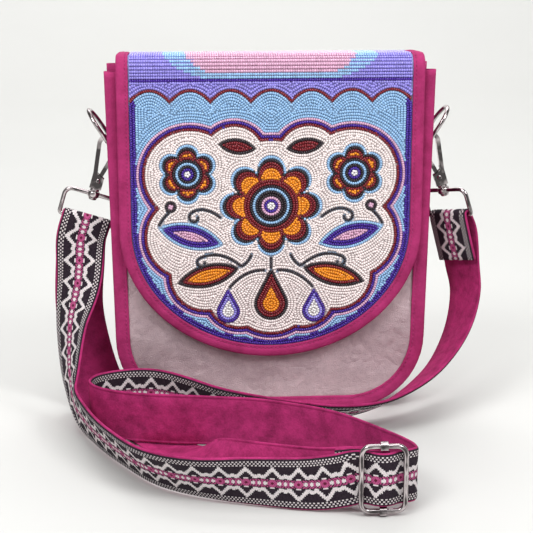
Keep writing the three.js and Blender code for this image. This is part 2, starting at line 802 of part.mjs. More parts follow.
// Strap: stations of centre and width direction. Its webbing is on the side that along x across points to.
const strapThickness = suedeThickness + webbingThickness + fit;
const upright = [0, 0, 1];
const loopPlace = (side, turn) => {
  const down = new THREE.Vector3(side * Math.sin(degrees(hookLean)), 0, -Math.cos(degrees(hookLean)));
  const level = new THREE.Vector3(side * Math.cos(degrees(hookLean)), 0, Math.sin(degrees(hookLean)));
  const across = level.clone().multiplyScalar(side * Math.cos(degrees(turn)));
  across.y -= Math.sin(degrees(turn));
  const centre = new THREE.Vector3(side * ringBarX, hookShift, ringBarZ).addScaledVector(down, loopBarDrop);
  const out = new THREE.Vector3().crossVectors(down, across).negate();
  return { centre, across, up: down.clone().negate(), out };
};
const stations = [];
const lay = (x, y, z, aside) => {
  stations.push({ at: new THREE.Vector3(x, y, z), across: new THREE.Vector3(...aside) });
};

// Stations round a bar: from one vector's side over another's to the first one's far side.
function fold(centre, first, over, across, radius) {
  for (let i = 0; i <= 4; i += 1) {
    const angle = (Math.PI * i) / 4;
    const at = centre.clone().addScaledVector(first, radius * Math.cos(angle));
    at.addScaledVector(over, radius * Math.sin(angle));
    stations.push({ at, across: across.clone() });
  }
}

// Sewn end on the slider's bar, then the under run, which lies flat below the left turn, to the left loop.
const strapMiddle = sliderMiddle;
const barCentre = new THREE.Vector3(sliderX, sliderY + barSetback, strapMiddle);
const barFold = barRadius + fit + strapThickness / 2;
lay(34, -215.5, 24, upright);
lay(46, -218, 25.5, upright);
lay(56, -224.3, strapMiddle, upright);
fold(barCentre, new THREE.Vector3(0, -1, 0), new THREE.Vector3(1, 0, 0), new THREE.Vector3(0, 0, 1), barFold);
lay(55, -219.4, 26, upright);
lay(46, -213.4, 24.5, upright);
lay(22, -205, 20.2, [0, 0.2, 0.98]);
lay(-22, -188, 18.6, [0.12, 0.38, 0.92]);
lay(-52, -163, 14.3, [0.45, 0.63, 0.63]);
lay(-66, -138, 7.4, [0.74, 0.6, 0.25]);
lay(-75, -113, 2.6, [0.87, 0.49, 0]);
lay(-91, -79, 2, [0.89, 0.45, 0]);
lay(-108, -48, 2, [0.89, 0.45, 0]);
lay(-121, -24, 3.4, [0.92, 0.38, 0]);
lay(-133, -10, 16, [0.95, 0.25, 0.1]);
lay(-143, -4, 44, [0.97, 0.05, 0.15]);
lay(-149, 0, 80, [0.97, -0.1, 0.12]);
lay(-147.5, 2, 116, [0.97, -0.1, 0.05]);

// Round the left loop's bar, then the front run to the slider.
const leftLoop = loopPlace(-1, loopTurnLeft);
const loopFold = loopWire / 2 + fit + strapThickness / 2;
const toBack = new THREE.Vector3(0, 1, 0);
const below = (loop, drop, out) => {
  const at = loop.centre.clone().addScaledVector(loop.up, -drop).addScaledVector(loop.out, out);
  stations.push({ at, across: loop.across.clone() });
};
below(leftLoop, loopDrop, loopFold + loopDrop * 0.1);
fold(leftLoop.centre, toBack, leftLoop.up, leftLoop.across, loopFold);
below(leftLoop, loopDrop, -loopFold - loopDrop * 0.1);
lay(-147.5, -18, 108, [0.91, -0.3, 0.1]);
lay(-153.5, -28, 74, [0.66, -0.55, 0.5]);
lay(-153.5, -47, 42, [0.36, -0.57, 0.74]);
lay(-149.5, -66, 24.5, [0.06, -0.5, 0.86]);
lay(-136.5, -102, 20, [-0.2, -0.3, 0.93]);
lay(-116, -145, 19, [-0.3, -0.35, 0.88]);
lay(-90, -183, 18.5, [-0.3, -0.38, 0.87]);
lay(-60, -202, 18.8, [-0.25, -0.35, 0.9]);
lay(-24, -212, 19.6, [-0.1, -0.2, 0.97]);
lay(18, -219.5, 20, upright);
lay(36, -223, 23.5, upright);
const frameBack = sliderWire / 2 + strapThickness / 2;
const barFront = barSetback - barRadius - 2 * fit - 1.5 * strapThickness;
lay(sliderX - 17, sliderY + frameBack + 0.8, strapMiddle, upright);
lay(sliderX - 11, sliderY + frameBack - 0.6, strapMiddle, upright);
lay(sliderX - 5.5, sliderY + barFront + 1.5, strapMiddle, upright);
lay(sliderX, sliderY + barFront, strapMiddle, upright);
lay(sliderX + 5.5, sliderY + barFront + 1.5, strapMiddle, upright);
lay(sliderX + 11, sliderY + frameBack - 0.4, strapMiddle, upright);
lay(sliderX + 17, sliderY + frameBack + 1.4, strapMiddle, upright);

// Back through the turn beside the slider to the left turn, and behind to the right.
lay(85.5, -219, 25.5, upright);
lay(86.5, -211, 24.5, upright);
lay(82.5, -193, 22, upright);
lay(72, -172, 20, upright);
lay(41, -134, 20, upright);
lay(-5, -111, 21.5, upright);
lay(-50, -107, 23.8, upright);
lay(-88, -101, 23.8, upright);
lay(-116, -92, 23.8, upright);
lay(-133, -80, 23.8, upright);
lay(-138, -66, 23.8, upright);
lay(-131, -53, 23.8, upright);
lay(-92, -44, 23.8, [0, -0.05, 1]);
lay(-35, -65, 19, [0, -0.5, 0.87]);
lay(25, -76, 17.5, [0, -0.78, 0.62]);
lay(60, -77, 18, [-0.05, -0.87, 0.5]);
lay(92, -69, 24, [-0.15, -0.94, 0.3]);
lay(125, -48, 40, [-0.05, -0.99, 0.12]);
lay(146, -25, 63, [0.3, -0.93, 0.18]);
lay(154, -13, 92, [0.45, -0.87, 0.15]);
lay(151.5, -8.3, 114, [0.56, -0.81, 0.17]);

// Up to the right loop, over its bar, and the sewn end hanging in front.
const rightLoop = loopPlace(1, loopTurnRight);
below(rightLoop, loopDrop, loopFold + loopDrop * 0.1);
fold(rightLoop.centre, rightLoop.out, rightLoop.up, rightLoop.across, loopFold);
below(rightLoop, loopDrop, -loopFold - loopDrop * 0.1);
below(rightLoop, strapEnd, -loopFold - loopDrop * 0.2);

// A flat band through the stations, a layer at offset along the webbing side.
const stepsPerStation = 2;
function band(width, offset, thickness) {
  const centre = new THREE.CatmullRomCurve3(stations.map((s) => s.at), false, "centripetal");
  const across = new THREE.CatmullRomCurve3(stations.map((s) => s.across), false, "catmullrom", 0.5);
  const count = (stations.length - 1) * stepsPerStation;
  const corners = [];
  for (let i = 0; i <= count; i += 1) {
    const t = i / count;
    const at = centre.getPoint(t);
    const along = centre.getTangent(t);
    const wide = across.getPoint(t).addScaledVector(along, -across.getPoint(t).dot(along)).normalize();
    const face = new THREE.Vector3().crossVectors(along, wide);
    [[-1, -1], [1, -1], [1, 1], [-1, 1]].forEach(([a, b]) => {
      const corner = at.clone().addScaledVector(wide, (a * width) / 2);
      corner.addScaledVector(face, offset + (b * thickness) / 2);
      corners.push(corner.x, corner.y, corner.z);
    });
  }
  const triangles = [0, 2, 1, 0, 3, 2];
  for (let i = 0; i < count; i += 1) {
    for (let k = 0; k < 4; k += 1) {
      const a = 4 * i + k;
      const b = 4 * i + ((k + 1) % 4);
      if (k === 2) triangles.push(a, b, a + 4, b, b + 4, a + 4);
      else triangles.push(a, b, b + 4, a, b + 4, a + 4);
    }
  }
  const last = 4 * count;
  triangles.push(last, last + 1, last + 2, last, last + 2, last + 3);
  const geometry = new THREE.BufferGeometry();
  geometry.setAttribute("position", new THREE.BufferAttribute(new Float32Array(corners), 3));
  geometry.setIndex(triangles);
  geometry.computeVertexNormals();
  return geometry;
}
const layerGap = fit / 2;
const suedeLayer = band(strapWidth, -layerGap - webbingThickness / 2, suedeThickness);
const webbingLayer = band(webbingWidth, layerGap + suedeThickness / 2, webbingThickness);
piece(bag, "strap_suede", suedeLayer, magenta());
piece(bag, "strap_webbing", webbingLayer, finish("#2a2026", 0.75));

// The bag's body is centred front to back on the origin, its beadwork included.
const frontReach = -beadFront;
const backReach = faceY + suede;
bag.position.y = (frontReach - backReach) / 2;
const model = new THREE.Group();
model.add(bag);

export default model;
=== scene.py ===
from functools import partialmethod
from math import asin, atan2, cos, pi, radians, sin, sqrt

import bmesh
import bpy
import numpy as np
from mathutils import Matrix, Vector


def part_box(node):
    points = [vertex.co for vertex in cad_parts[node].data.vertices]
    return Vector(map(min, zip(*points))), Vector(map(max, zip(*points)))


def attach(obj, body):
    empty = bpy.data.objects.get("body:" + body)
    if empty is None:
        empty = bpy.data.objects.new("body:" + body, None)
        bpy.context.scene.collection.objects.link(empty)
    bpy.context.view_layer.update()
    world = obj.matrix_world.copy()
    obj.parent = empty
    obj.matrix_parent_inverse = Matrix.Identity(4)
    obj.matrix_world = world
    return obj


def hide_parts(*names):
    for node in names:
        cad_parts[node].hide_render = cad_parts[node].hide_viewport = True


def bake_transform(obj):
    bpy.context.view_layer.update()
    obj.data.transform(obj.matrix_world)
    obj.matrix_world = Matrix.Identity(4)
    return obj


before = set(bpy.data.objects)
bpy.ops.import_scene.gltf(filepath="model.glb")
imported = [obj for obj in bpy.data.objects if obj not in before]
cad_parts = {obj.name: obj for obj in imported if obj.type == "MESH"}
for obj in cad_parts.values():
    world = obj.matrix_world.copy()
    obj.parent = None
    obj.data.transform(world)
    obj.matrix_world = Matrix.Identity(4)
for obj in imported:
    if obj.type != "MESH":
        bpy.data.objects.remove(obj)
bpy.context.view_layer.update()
rng = np.random.default_rng(7)

# Lengths are millimetres in the bag's own frame: X right, front at -Y, Z up. place() turns them into metres.
MM = 0.001
SUEDE = 1.2
LEATHER = 1.8
CLEARANCE = 0.3
FACE_Y = 24
SHIFT_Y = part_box("back_binding")[1][1] / MM - FACE_Y - SUEDE
SIDES = {"left": -1, "right": 1}
FACES = {"front": -1, "back": 1}

# Body
TOP_HALF = 124
TAPER = 5
HEIGHT = 268
CORNER = 60
BINDING = 11
SEAM_INSET = 1.6
FRONT_TOP = 262
PANEL_BACK = FACE_Y - LEATHER
FLANGE_BACK = PANEL_BACK - SUEDE
GUSSET_DIP = 1.8

# Flap
FLAP_HALF = 115
FLAP_TURN = 148
FLAP_DROP = FLAP_HALF * 0.8826
FLAP_BINDING = 9
FLAP_GAP = 3.7
HINGE_Y = FACE_Y - LEATHER / 2
HINGE_Z = 274
FLAP_FRONT_Y = -FACE_Y - SUEDE - FLAP_GAP + LEATHER / 2
FLAP_TOP_Z = 278.5
FLAP_BEND = 11
BEAD_TOP = LEATHER / 2 + 2

# Hardware
RING_X = 122.5
RING_Z = 213
RING_LEAN = radians(33)
RING_WIRE = 3.2
RING_INSIDE = 25
RING_REACH = 27
HOOK_Y = -7.5
HOOK_LEAN = radians(17)
LOOP_WIRE = 3.4
LOOP_INSIDE = 39.6
LOOP_HEIGHT = 21
LOOP_LOW_CORNER = 2.2
LOOP_HIGH_CORNER = 6
LOOP_TOP = 42.7
LOOP_TURN = {"left": 0, "right": radians(50)}

# Strap and slider
STRAP_WIDTH = 38
STRAP_THICK = 2.8
HANG = 14
SPREAD = HANG * 0.1
SLIDER_X = 63
SLIDER_Y = -229
SLIDER_Z = 26.45
SLIDER_WIRE = 3.6
SLIDER_WIDTH = 33
SLIDER_HEIGHT = 49.3
SLIDER_CORNER = 6
BAR_SET = 4
BAR_WIRE = 3


# Paths
def place(points):
    """Bag millimetres to the frame's metres."""
    return (np.asarray(points, float) + (0, SHIFT_Y, 0)) * MM


def unit(vectors):
    return vectors / np.linalg.norm(vectors, axis=-1, keepdims=True)


def heading(path):
    return unit(np.gradient(path, axis=0))


def run_along(path):
    """A path's length up to each of its points."""
    return np.append(0, np.cumsum(np.linalg.norm(np.diff(path, axis=0), axis=1)))


def follow(path, run, stops):
    """A path's points at stops along it."""
    return np.stack([np.interp(stops, run, column) for column in np.transpose(path)], -1)


def columns(*values):
    """Points from their coordinates, of which some may be constant."""
    return np.stack(np.broadcast_arrays(*values), -1)


def full_turn(count):
    return np.linspace(0, 2 * pi, count, endpoint=False)


def spokes(side, up, count):
    """Directions all round a line."""
    turn = full_turn(count)[:, None]
    return np.cos(turn) * side[:, None] + np.sin(turn) * up[..., None, :]


def arcs(*rows):
    """Points along one arc after another, with angles in degrees."""
    points = []
    for x, z, radius, first, last, count in rows:
        turn = np.radians(np.linspace(first, last, count))
        points.append(columns(x + radius * np.cos(turn), z + radius * np.sin(turn)))
    return np.vstack(points)


def bent_line(start, bend, end, count):
    """Points on a curve from start to end that is drawn towards bend."""
    t = np.linspace(0, 1, count)[:, None]
    return (1 - t) ** 2 * start + 2 * t * (1 - t) * bend + t * t * end


def both_halves(left):
    """A left half, then its mirror image back up."""
    return np.vstack((left, left[-2::-1] * (-1, 1)))


def spline(points, steps, power):
    """A Catmull-Rom curve: power 0.25 makes it centripetal, 0 uniform."""
    p = np.vstack((2 * points[0] - points[1], points, 2 * points[-1] - points[-2]))
    gaps = np.maximum((np.diff(p, axis=0) ** 2).sum(1) ** power, 1e-4)
    t = (np.arange(steps) / steps)[:, None]
    curve = []
    for i in range(1, len(p) - 2):
        a, b, c, d = p[i - 1:i + 3]
        g0, g1, g2 = gaps[i - 1:i + 2]
        start = ((b - a) / g0 - (c - a) / (g0 + g1) + (c - b) / g1) * g1
        end = ((c - b) / g1 - (d - b) / (g1 + g2) + (d - c) / g2) * g1
        square = 3 * (c - b) - 2 * start - end
        cube = 2 * (b - c) + start + end
        curve.append(b + start * t + square * t ** 2 + cube * t ** 3)
    return np.vstack((*curve, p[-2]))


# Meshes
def link(name, data):
    """A new object in the scene."""
    obj = bpy.data.objects.new(name, data)
    bpy.context.collection.objects.link(obj)
    return obj


def add_mesh(name, points, faces, *materials):
    """A smooth mesh from points in metres."""
    mesh = bpy.data.meshes.new(name)
    mesh.from_pydata([tuple(p) for p in points], [], faces)
    for material in materials:
        mesh.materials.append(material)
    mesh.polygons.foreach_set("use_smooth", np.ones(len(mesh.polygons), bool))
    return link(name, mesh)


def loft_faces(n, m, closed=False):
    """Quads between n rings of m points, whose ends are joined if closed and capped if not."""
    faces = []
    for i in range(n if closed else n - 1):
        a, b = i * m, (i + 1) % n * m
        faces += [(a + k, a + (k + 1) % m, b + (k + 1) % m, b + k) for k in range(m)]
    if not closed:
        faces += [tuple(range(m))[::-1], tuple(range((n - 1) * m, n * m))]
    return faces


def fix_normals(obj):
    """Faces a closed mesh outwards."""
    bm = bmesh.new()
    bm.from_mesh(obj.data)
    bmesh.ops.recalc_face_normals(bm, faces=bm.faces)
    bm.to_mesh(obj.data)
    bm.free()


def loft(name, rings, *materials, closed=False):
    """A closed solid through rings of bag-frame points."""
    obj = add_mesh(name, place(rings.reshape(-1, 3)), loft_faces(*rings.shape[:2], closed), *materials)
    fix_normals(obj)
    return obj


def wire_loop(name, path, wire, sides, body, *nodes):
    """A closed loop of round wire in one plane."""
    flat = unit(np.cross(path[len(path) // 3] - path[0], path[2 * len(path) // 3] - path[0]))
    side = np.cross(flat, unit(np.roll(path, -1, 0) - np.roll(path, 1, 0)))
    obj = loft(name, path[:, None] + wire / 2 * spokes(side, flat, sides), NICKEL, closed=True)
    finish_piece(obj, body, "nickel", *nodes)


def repeat_faces(faces, size, count):
    """Faces for count copies of a solid of size points."""
    return [tuple(i * size + k for k in face) for i in range(count) for face in faces]


def finish_piece(obj, body, slot, *nodes):
    """The piece rides on a body and stands for CAD nodes; slot is not used."""
    if body:
        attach(obj, body)
    if nodes:
        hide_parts(*nodes)


def suede_piece(name, rings, body, node):
    finish_piece(loft(name, rings, MAGENTA), body, "magenta_suede", node)


# Materials: shader nodes written as sums
class Value:
    """A shader socket that can be added, multiplied and compared."""

    def __init__(self, graph, socket):
        self.graph = graph
        self.socket = socket

    def apply(self, operation, *others):
        node = self.graph.add("ShaderNodeMath", dict(enumerate((self, *others))), operation=operation)
        return Value(self.graph, node.outputs[0])


OPERATIONS = {
    "__add__": "ADD", "__sub__": "SUBTRACT", "__mul__": "MULTIPLY", "__truediv__": "DIVIDE",
    "__lt__": "LESS_THAN", "__gt__": "GREATER_THAN", "max": "MAXIMUM", "min": "MINIMUM",
    "abs": "ABSOLUTE", "floor": "FLOOR", "fract": "FRACT", "sin": "SINE", "root": "SQRT",
}
for method, operation in OPERATIONS.items():
    setattr(Value, method, partialmethod(Value.apply, operation))


class Graph:
    """One material's nodes round its Principled shader."""

    def __init__(self, name):
        self.material = bpy.data.materials.new(name)
        self.material.use_nodes = True
        self.tree = self.material.node_tree
        self.shader = self.tree.nodes["Principled BSDF"]
        self.spot = self.add("ShaderNodeTexCoord").outputs["Object"]

    def add(self, kind, inputs=None, **settings):
        node = self.tree.nodes.new(kind)
        for key, value in settings.items():
            setattr(node, key, value)
        for key, value in (inputs or {}).items():
            self.feed(node.inputs[key], value)
        return node

    def feed(self, socket, value):
        """Links a socket to another one, or sets its constant."""
        source = getattr(value, "socket", value)
        if isinstance(source, bpy.types.NodeSocket):
            self.tree.links.new(source, socket)
        else:
            socket.default_value = source

    def set(self, **values):
        """Feeds the shader's inputs, named with _ for each space."""
        for name, value in values.items():
            self.feed(self.shader.inputs[name.replace("_", " ")], value)

    def split(self, vector):
        return [Value(self, part) for part in self.add("ShaderNodeSeparateXYZ", {0: vector}).outputs]

    def noise(self, scale, detail=3, roughness=0.5):
        """Noise with about scale patches to the metre."""
        inputs = {"Vector": self.spot, "Scale": scale, "Detail": detail, "Roughness": roughness}
        return Value(self, self.add("ShaderNodeTexNoise", inputs).outputs["Fac"])

    def cells(self, scale):
        """Distance to the edges of cells."""
        inputs = {"Vector": self.spot, "Scale": scale}
        node = self.add("ShaderNodeTexVoronoi", inputs, feature="DISTANCE_TO_EDGE")
        return Value(self, node.outputs["Distance"])

    def tone(self, output):
        """The attribute that beads and felt carry."""
        return self.add("ShaderNodeAttribute", attribute_name="tone").outputs[output]

    def ramp(self, value, *stops):
        node = self.add("ShaderNodeValToRGB", {"Fac": value})
        elements = node.color_ramp.elements
        while len(elements) < len(stops):
            elements.new(0.5)
        for element, (at, color) in zip(elements, stops):
            element.position = at
            element.color = (*color, 1)
        return node.outputs["Color"]

    def mix(self, share, a, b):
        return self.add("ShaderNodeMix", {0: share, 6: a, 7: b}, data_type="RGBA").outputs[2]

    def bump(self, height, distance, strength):
        inputs = {"Height": height, "Distance": distance, "Strength": strength}
        self.set(Normal=self.add("ShaderNodeBump", inputs).outputs["Normal"])


def suede_material(name, dark, light, nap, mottle_and_crease_shade):
    """Suede with a sheen, mottled in colour and creased; the last argument sets how much, and so how much
    painted shade darkens the creases.
    """
    g = Graph(name)
    blotch = g.noise(40, 4, 0.65) * 0.45 + g.noise(130) * 0.35 + g.noise(700, 2) * 0.2
    crease = ((g.noise(26) - 0.5).abs() * 9).min(1)
    # Painted shade: the colour is darker along the creases, while the blotches vary at random.
    mottle = (blotch - 0.5) * (1 + mottle_and_crease_shade) + crease * (0.16 * mottle_and_crease_shade) + (0.5 - 0.1 * mottle_and_crease_shade)
    g.set(
        Base_Color=g.ramp(mottle, (0.3, dark), (0.68, light)), Roughness=g.noise(160) * 0.2 + 0.74,
        Specular_IOR_Level=0.2, Sheen_Weight=nap, Sheen_Roughness=0.45, Sheen_Tint=(*light, 1),
    )
    g.bump(g.noise(900, 4) * 0.5 + g.noise(120, 4) * 1.1 + crease * (1.2 * mottle_and_crease_shade), 0.001, 0.6)
    return g.material


def leather_material():
    """White leather coloured grey and pink in broad random patches, with a fine grain and long creases."""
    g = Graph("white_leather")
    tone = g.noise(9) * 0.7 + g.noise(40, 4) * 0.5 + g.noise(300, 2) * 0.3 - 0.25
    grain = g.cells(900).min(0.35)
    crease = ((g.noise(17, 3, 0.6) - 0.5).abs() * 12).min(1)
    color = g.ramp(tone, (0.3, (0.38, 0.283, 0.306)), (0.7, (0.6, 0.46, 0.484)))
    g.set(Base_Color=color, Roughness=g.noise(500, 2) * 0.2 + 0.44)
    g.bump(grain * 0.9 + g.noise(1800, 2) * 0.2 + g.noise(38, 4) * 2.2 + crease * 1.1, 0.0014, 0.7)
    return g.material


def metal_material():
    """Polished nickel with painted reflection: light and dark bands by the way each face turns, as if it
    mirrored a studio, tinted pink as if it mirrored the magenta suede.
    """
    g = Graph("nickel")
    normal_y = g.split(g.add("ShaderNodeNewGeometry").outputs["Normal"])[1]
    drift = (g.noise(75, 2) - 0.5) * 0.9
    # Painted reflection: the band of light or dark that each face gets by how squarely it faces front or
    # back, wandering with noise.
    reflection_band = normal_y.abs() + drift + g.noise(160) * 0.16 - 0.13
    tones = (0, 0.68), (0.3, 0.5), (0.5, 0.11), (0.66, 0.4), (0.8, 0.7), (0.88, 0.34), (0.98, 0.07)
    color = g.ramp(reflection_band, *[(at, (t, t * 0.89, t * 0.905)) for at, t in tones])
    g.set(Base_Color=color, Metallic=1, Roughness=g.noise(240, 4) * 0.14 + 0.1)
    g.bump(g.noise(90), 0.0003, 0.2)
    return g.material


def lining_material():
    g = Graph("lining")
    weave = g.noise(1300, 2)
    g.set(Base_Color=g.ramp(weave, (0.35, (0.42, 0.05, 0.19)), (0.65, (0.58, 0.09, 0.28))), Roughness=0.9)
    g.bump(weave + g.noise(45) * 1.4, 0.0005, 0.6)
    return g.material


def bead_material(name, color):
    """Opaque glass seed beads, each with its own tone."""
    g = Graph(name)
    low = (*(c * 0.72 for c in color), 1)
    high = (*(min(1, c * 1.12 + 0.01) for c in color), 1)
    g.set(
        Base_Color=g.mix(g.tone("Fac"), low, high), Roughness=g.noise(700, 2) * 0.14 + 0.14,
        Specular_IOR_Level=0.35, Coat_Weight=0.15, Coat_Roughness=0.1,
    )
    return g.material


def felt_material():
    g = Graph("felt")
    # Painted shade: the beads' darkened colours from the tone attribute, mottled darker still, so that gaps
    # between beads read as shadow.
    g.set(Base_Color=g.mix(g.noise(600) * 0.3, g.tone("Color"), (0.2, 0.16, 0.18, 1)), Roughness=0.9)
    g.bump(g.noise(1500), 0.0003, 0.5)
    return g.material


def webbing_material():
    """Webbing with dotted borders, two roped zigzags and a chain of medallions."""
    g = Graph("webbing")
    u, v, _ = g.split(g.add("ShaderNodeUVMap", uv_map="UVMap").outputs["UV"])
    pick, end, repeat = 0.55, 0.5, 17.6

    def stepped_by(size, value):
        return ((value / size).floor() + 0.5) * size

    along = stepped_by(pick, u)
    across = stepped_by(end, v).abs()
    phase = (along / repeat).fract() - 0.5
    lengthwise = phase * repeat
    between = ((along / repeat).fract() - (phase > 0)) * repeat
    twist = ((along + across * 0.6) / 1.5).fract()

    dot, dot_row, border_from = 2.5, 1.5, 12.9
    row = (v.abs() - border_from) / dot_row
    dots = ((u / dot + row.floor() * 0.5).fract() < 0.5) * (row.fract() < 0.64)
    border = dots * (row > 0) * (row < 3)

    stair, valley, rise = 1.1, 4.8, 6.3
    stepped = (stepped_by(stair, u) / repeat).fract() - 0.5
    peak = (stepped.abs() / 0.31 * -1 + 1).max(0)
    zigzag = peak * rise + valley + (stepped.abs() > 0.43) * 0.8
    wander = g.noise(420, 2) - 0.5
    steep = (stepped.abs() < 0.3) * 0.35 + 1.35
    rope = (across + wander - zigzag).abs() < steep + (twist - 0.5).abs() * 0.5

    ring = (lengthwise * lengthwise + across * across).root()
    heart_radius, medallion_radius = 1.1, 3
    medallion = (ring < medallion_radius) * (ring > heart_radius)
    heart = ring < heart_radius
    caps = ((across - 3.6).abs() < 0.6) * (lengthwise.abs() < 1.6)
    chain = (between / 4 + 0.5).fract() - 0.5
    ovals = ((chain * chain * 7.5 + across * across / 1.9) < 1) * (between.abs() < 6)
    knots = (chain.abs() > 0.34) * (across < 1.3)
    strand = ((across - 2.3).abs() < 0.55) * (((along + across) / 2).fract() < 0.62)
    pink = medallion.max(strand.max(knots) * (between.abs() < 6.2))
    white = border.max(rope).max(caps).max(ovals)

    fuzz = g.noise(900)
    black = g.ramp(fuzz, (0.3, (0.012, 0.006, 0.012)), (0.7, (0.033, 0.019, 0.031)))
    pale_stops = (0.2, (0.52, 0.455, 0.47)), (0.45, (0.79, 0.72, 0.73)), (0.8, (0.9, 0.835, 0.84))
    pale = g.ramp(fuzz * 0.6 + twist * 0.4, *pale_stops)
    rose = g.ramp(fuzz * 0.5 + twist * 0.5, (0.2, (0.3, 0.03, 0.12)), (0.6, (0.56, 0.1, 0.27)))
    wine = (0.12, 0.008, 0.03, 1)
    color = g.mix(heart, g.mix(pink, g.mix(white, black, pale), rose), wine)
    g.set(Base_Color=color, Roughness=0.85, Specular_IOR_Level=0.25)
    thread = (u / pick * pi).sin().abs() * 0.5 + (v / end * pi).sin().abs() * 0.5
    g.bump(thread + rope.max(pink).max(white) * 1.1 + fuzz * 0.4, 0.00045, 0.8)
    return g.material


def floor_material():
    g = Graph("floor")
    color = g.ramp(g.noise(3, 2), (0.3, (0.56, 0.56, 0.545)), (0.7, (0.57, 0.57, 0.555)))
    g.set(Base_Color=color, Roughness=0.7)
    return g.material


MAGENTA = suede_material("magenta_suede", (0.28, 0.018, 0.093), (0.43, 0.033, 0.155), 0.15, 0.4)
STRAP_SUEDE = suede_material("strap_suede", (0.22, 0.011, 0.072), (0.45, 0.028, 0.155), 0.18, 0.55)
THREAD = suede_material("thread", (0.25, 0.02, 0.1), (0.42, 0.05, 0.18), 0.2, 0.2)
WHITE_LEATHER = leather_material()
NICKEL = metal_material()
WEBBING = webbing_material()
LINING = lining_material()

# Camera at the photograph's place
FOCAL_PX = 1530.9
FRAME_PX = 533
SENSOR = 36
camera = link("camera", bpy.data.cameras.new("camera"))
camera.data.sensor_width = SENSOR
camera.data.lens = SENSOR * FOCAL_PX / FRAME_PX
camera.location = place((-64, -1159.8, 423.1))
camera.rotation_euler = Vector((0.0516, 0.9643, -0.2598)).to_track_quat("-Z", "Y").to_euler()
bpy.context.scene.camera = camera


# Strap: stations on its route, each a centre and the direction of the strap's width
def fold(wire):
    """The radius at which the strap's middle goes round a wire."""
    return wire / 2 + CLEARANCE + STRAP_THICK / 2


def half_turn(centre, first, over, radius):
    """Points half way round a bar, from the side that first points to."""
    return [centre + radius * (cos(a) * first + sin(a) * over) for a in np.linspace(0, pi, 5)]


def round_loop(side):
    """Stations up behind a loop's bar, round it and down in front."""
    s, turn = SIDES[side], LOOP_TURN[side]
    down = np.array((s * sin(HOOK_LEAN), 0, -cos(HOOK_LEAN)))
    level = np.array((s * cos(HOOK_LEAN), 0, sin(HOOK_LEAN)))
    across = level * s * cos(turn) + (0, -sin(turn), 0)
    back = -np.cross(down, across)
    bar = np.array((s * RING_X, HOOK_Y, RING_Z)) + down * (LOOP_TOP + LOOP_HEIGHT)
    radius = fold(LOOP_WIRE)
    points = [bar + down * HANG + back * (radius + SPREAD), *half_turn(bar, back, -down, radius)]
    points.append(bar + down * HANG - back * (radius + SPREAD))
    if side == "right":
        points.append(bar + down * HANG * 2.5 - back * (radius + SPREAD * 2))
    return [(p, across) for p in points]


def lay(*rows):
    """Stations from rows of x, y, z and the width's direction, upright if not given."""
    return [(np.array(row[:3], float), np.array(row[3:] or (0, 0, 1), float)) for row in rows]


def strap_stations():
    """The route from the slider's bar by the left loop and the slider to the right loop."""
    bar = np.array((SLIDER_X, SLIDER_Y + BAR_SET, SLIDER_Z))
    bar_turn = half_turn(bar, np.array((0, -1, 0)), np.array((1, 0, 0)), fold(BAR_WIRE))
    bar_front = BAR_SET - BAR_WIRE / 2 - 2 * CLEARANCE - 1.5 * STRAP_THICK
    frame_back = (SLIDER_WIRE + STRAP_THICK) / 2
    through = (
        (-17, frame_back + 0.8), (-11, frame_back - 0.6), (-5.5, bar_front + 1.5), (0, bar_front),
        (5.5, bar_front + 1.5), (11, frame_back - 0.4), (17, frame_back + 1.4),
    )
    under = lay(
        (34, -215.5, 24), (46, -218, 25.5), (56, -224.3, SLIDER_Z), *map(tuple, bar_turn), (55, -219.4, 26),
        (46, -213.4, 24.5), (22, -205, 20.2, 0, 0.2, 0.98), (-22, -188, 18.6, 0.12, 0.38, 0.92),
        (-52, -163, 14.3, 0.45, 0.63, 0.63), (-66, -138, 7.4, 0.74, 0.6, 0.25),
        (-75, -113, 2.6, 0.87, 0.49, 0), (-91, -79, 2, 0.89, 0.45, 0), (-108, -48, 2, 0.89, 0.45, 0),
        (-121, -24, 3.4, 0.92, 0.38, 0), (-133, -10, 16, 0.95, 0.25, 0.1), (-143, -4, 44, 0.97, 0.05, 0.15),
        (-149, 0, 80, 0.97, -0.1, 0.12), (-147.5, 2, 116, 0.97, -0.1, 0.05),
    )
    over = lay(
        (-147.5, -18, 108, 0.91, -0.3, 0.1), (-153.5, -28, 74, 0.66, -0.55, 0.5),
        (-153.5, -47, 42, 0.36, -0.57, 0.74), (-149.5, -66, 24.5, 0.06, -0.5, 0.86),
        (-136.5, -102, 20, -0.2, -0.3, 0.93), (-116, -145, 19, -0.3, -0.35, 0.88),
        (-90, -183, 18.5, -0.3, -0.38, 0.87), (-60, -202, 18.8, -0.25, -0.35, 0.9),
        (-24, -212, 19.6, -0.1, -0.2, 0.97), (18, -219.5, 20), (36, -223, 23.5),
        *[(SLIDER_X + x, SLIDER_Y + y, SLIDER_Z) for x, y in through],
        (85.5, -219, 25.5), (86.5, -211, 24.5), (82.5, -193, 22), (72, -172, 20), (41, -134, 20),
        (-5, -111, 21.5), (-50, -107, 23.8), (-88, -101, 23.8), (-116, -92, 23.8), (-133, -80, 23.8),
        (-138, -66, 23.8), (-131, -53, 23.8), (-92, -44, 23.8, 0, -0.05, 1), (-35, -65, 19, 0, -0.5, 0.87),
        (25, -76, 17.5, 0, -0.78, 0.62),
    )
    right = lay(
        (60, -77, 18, -0.05, -0.87, 0.5), (92, -69, 24, -0.15, -0.94, 0.3),
        (125, -48, 40, -0.05, -0.99, 0.12), (146, -25, 63, 0.3, -0.93, 0.18),
        (154, -13, 92, 0.45, -0.87, 0.15), (151.5, -8.3, 114, 0.56, -0.81, 0.17),
    )
    return under + round_loop("left") + over, right + round_loop("right")


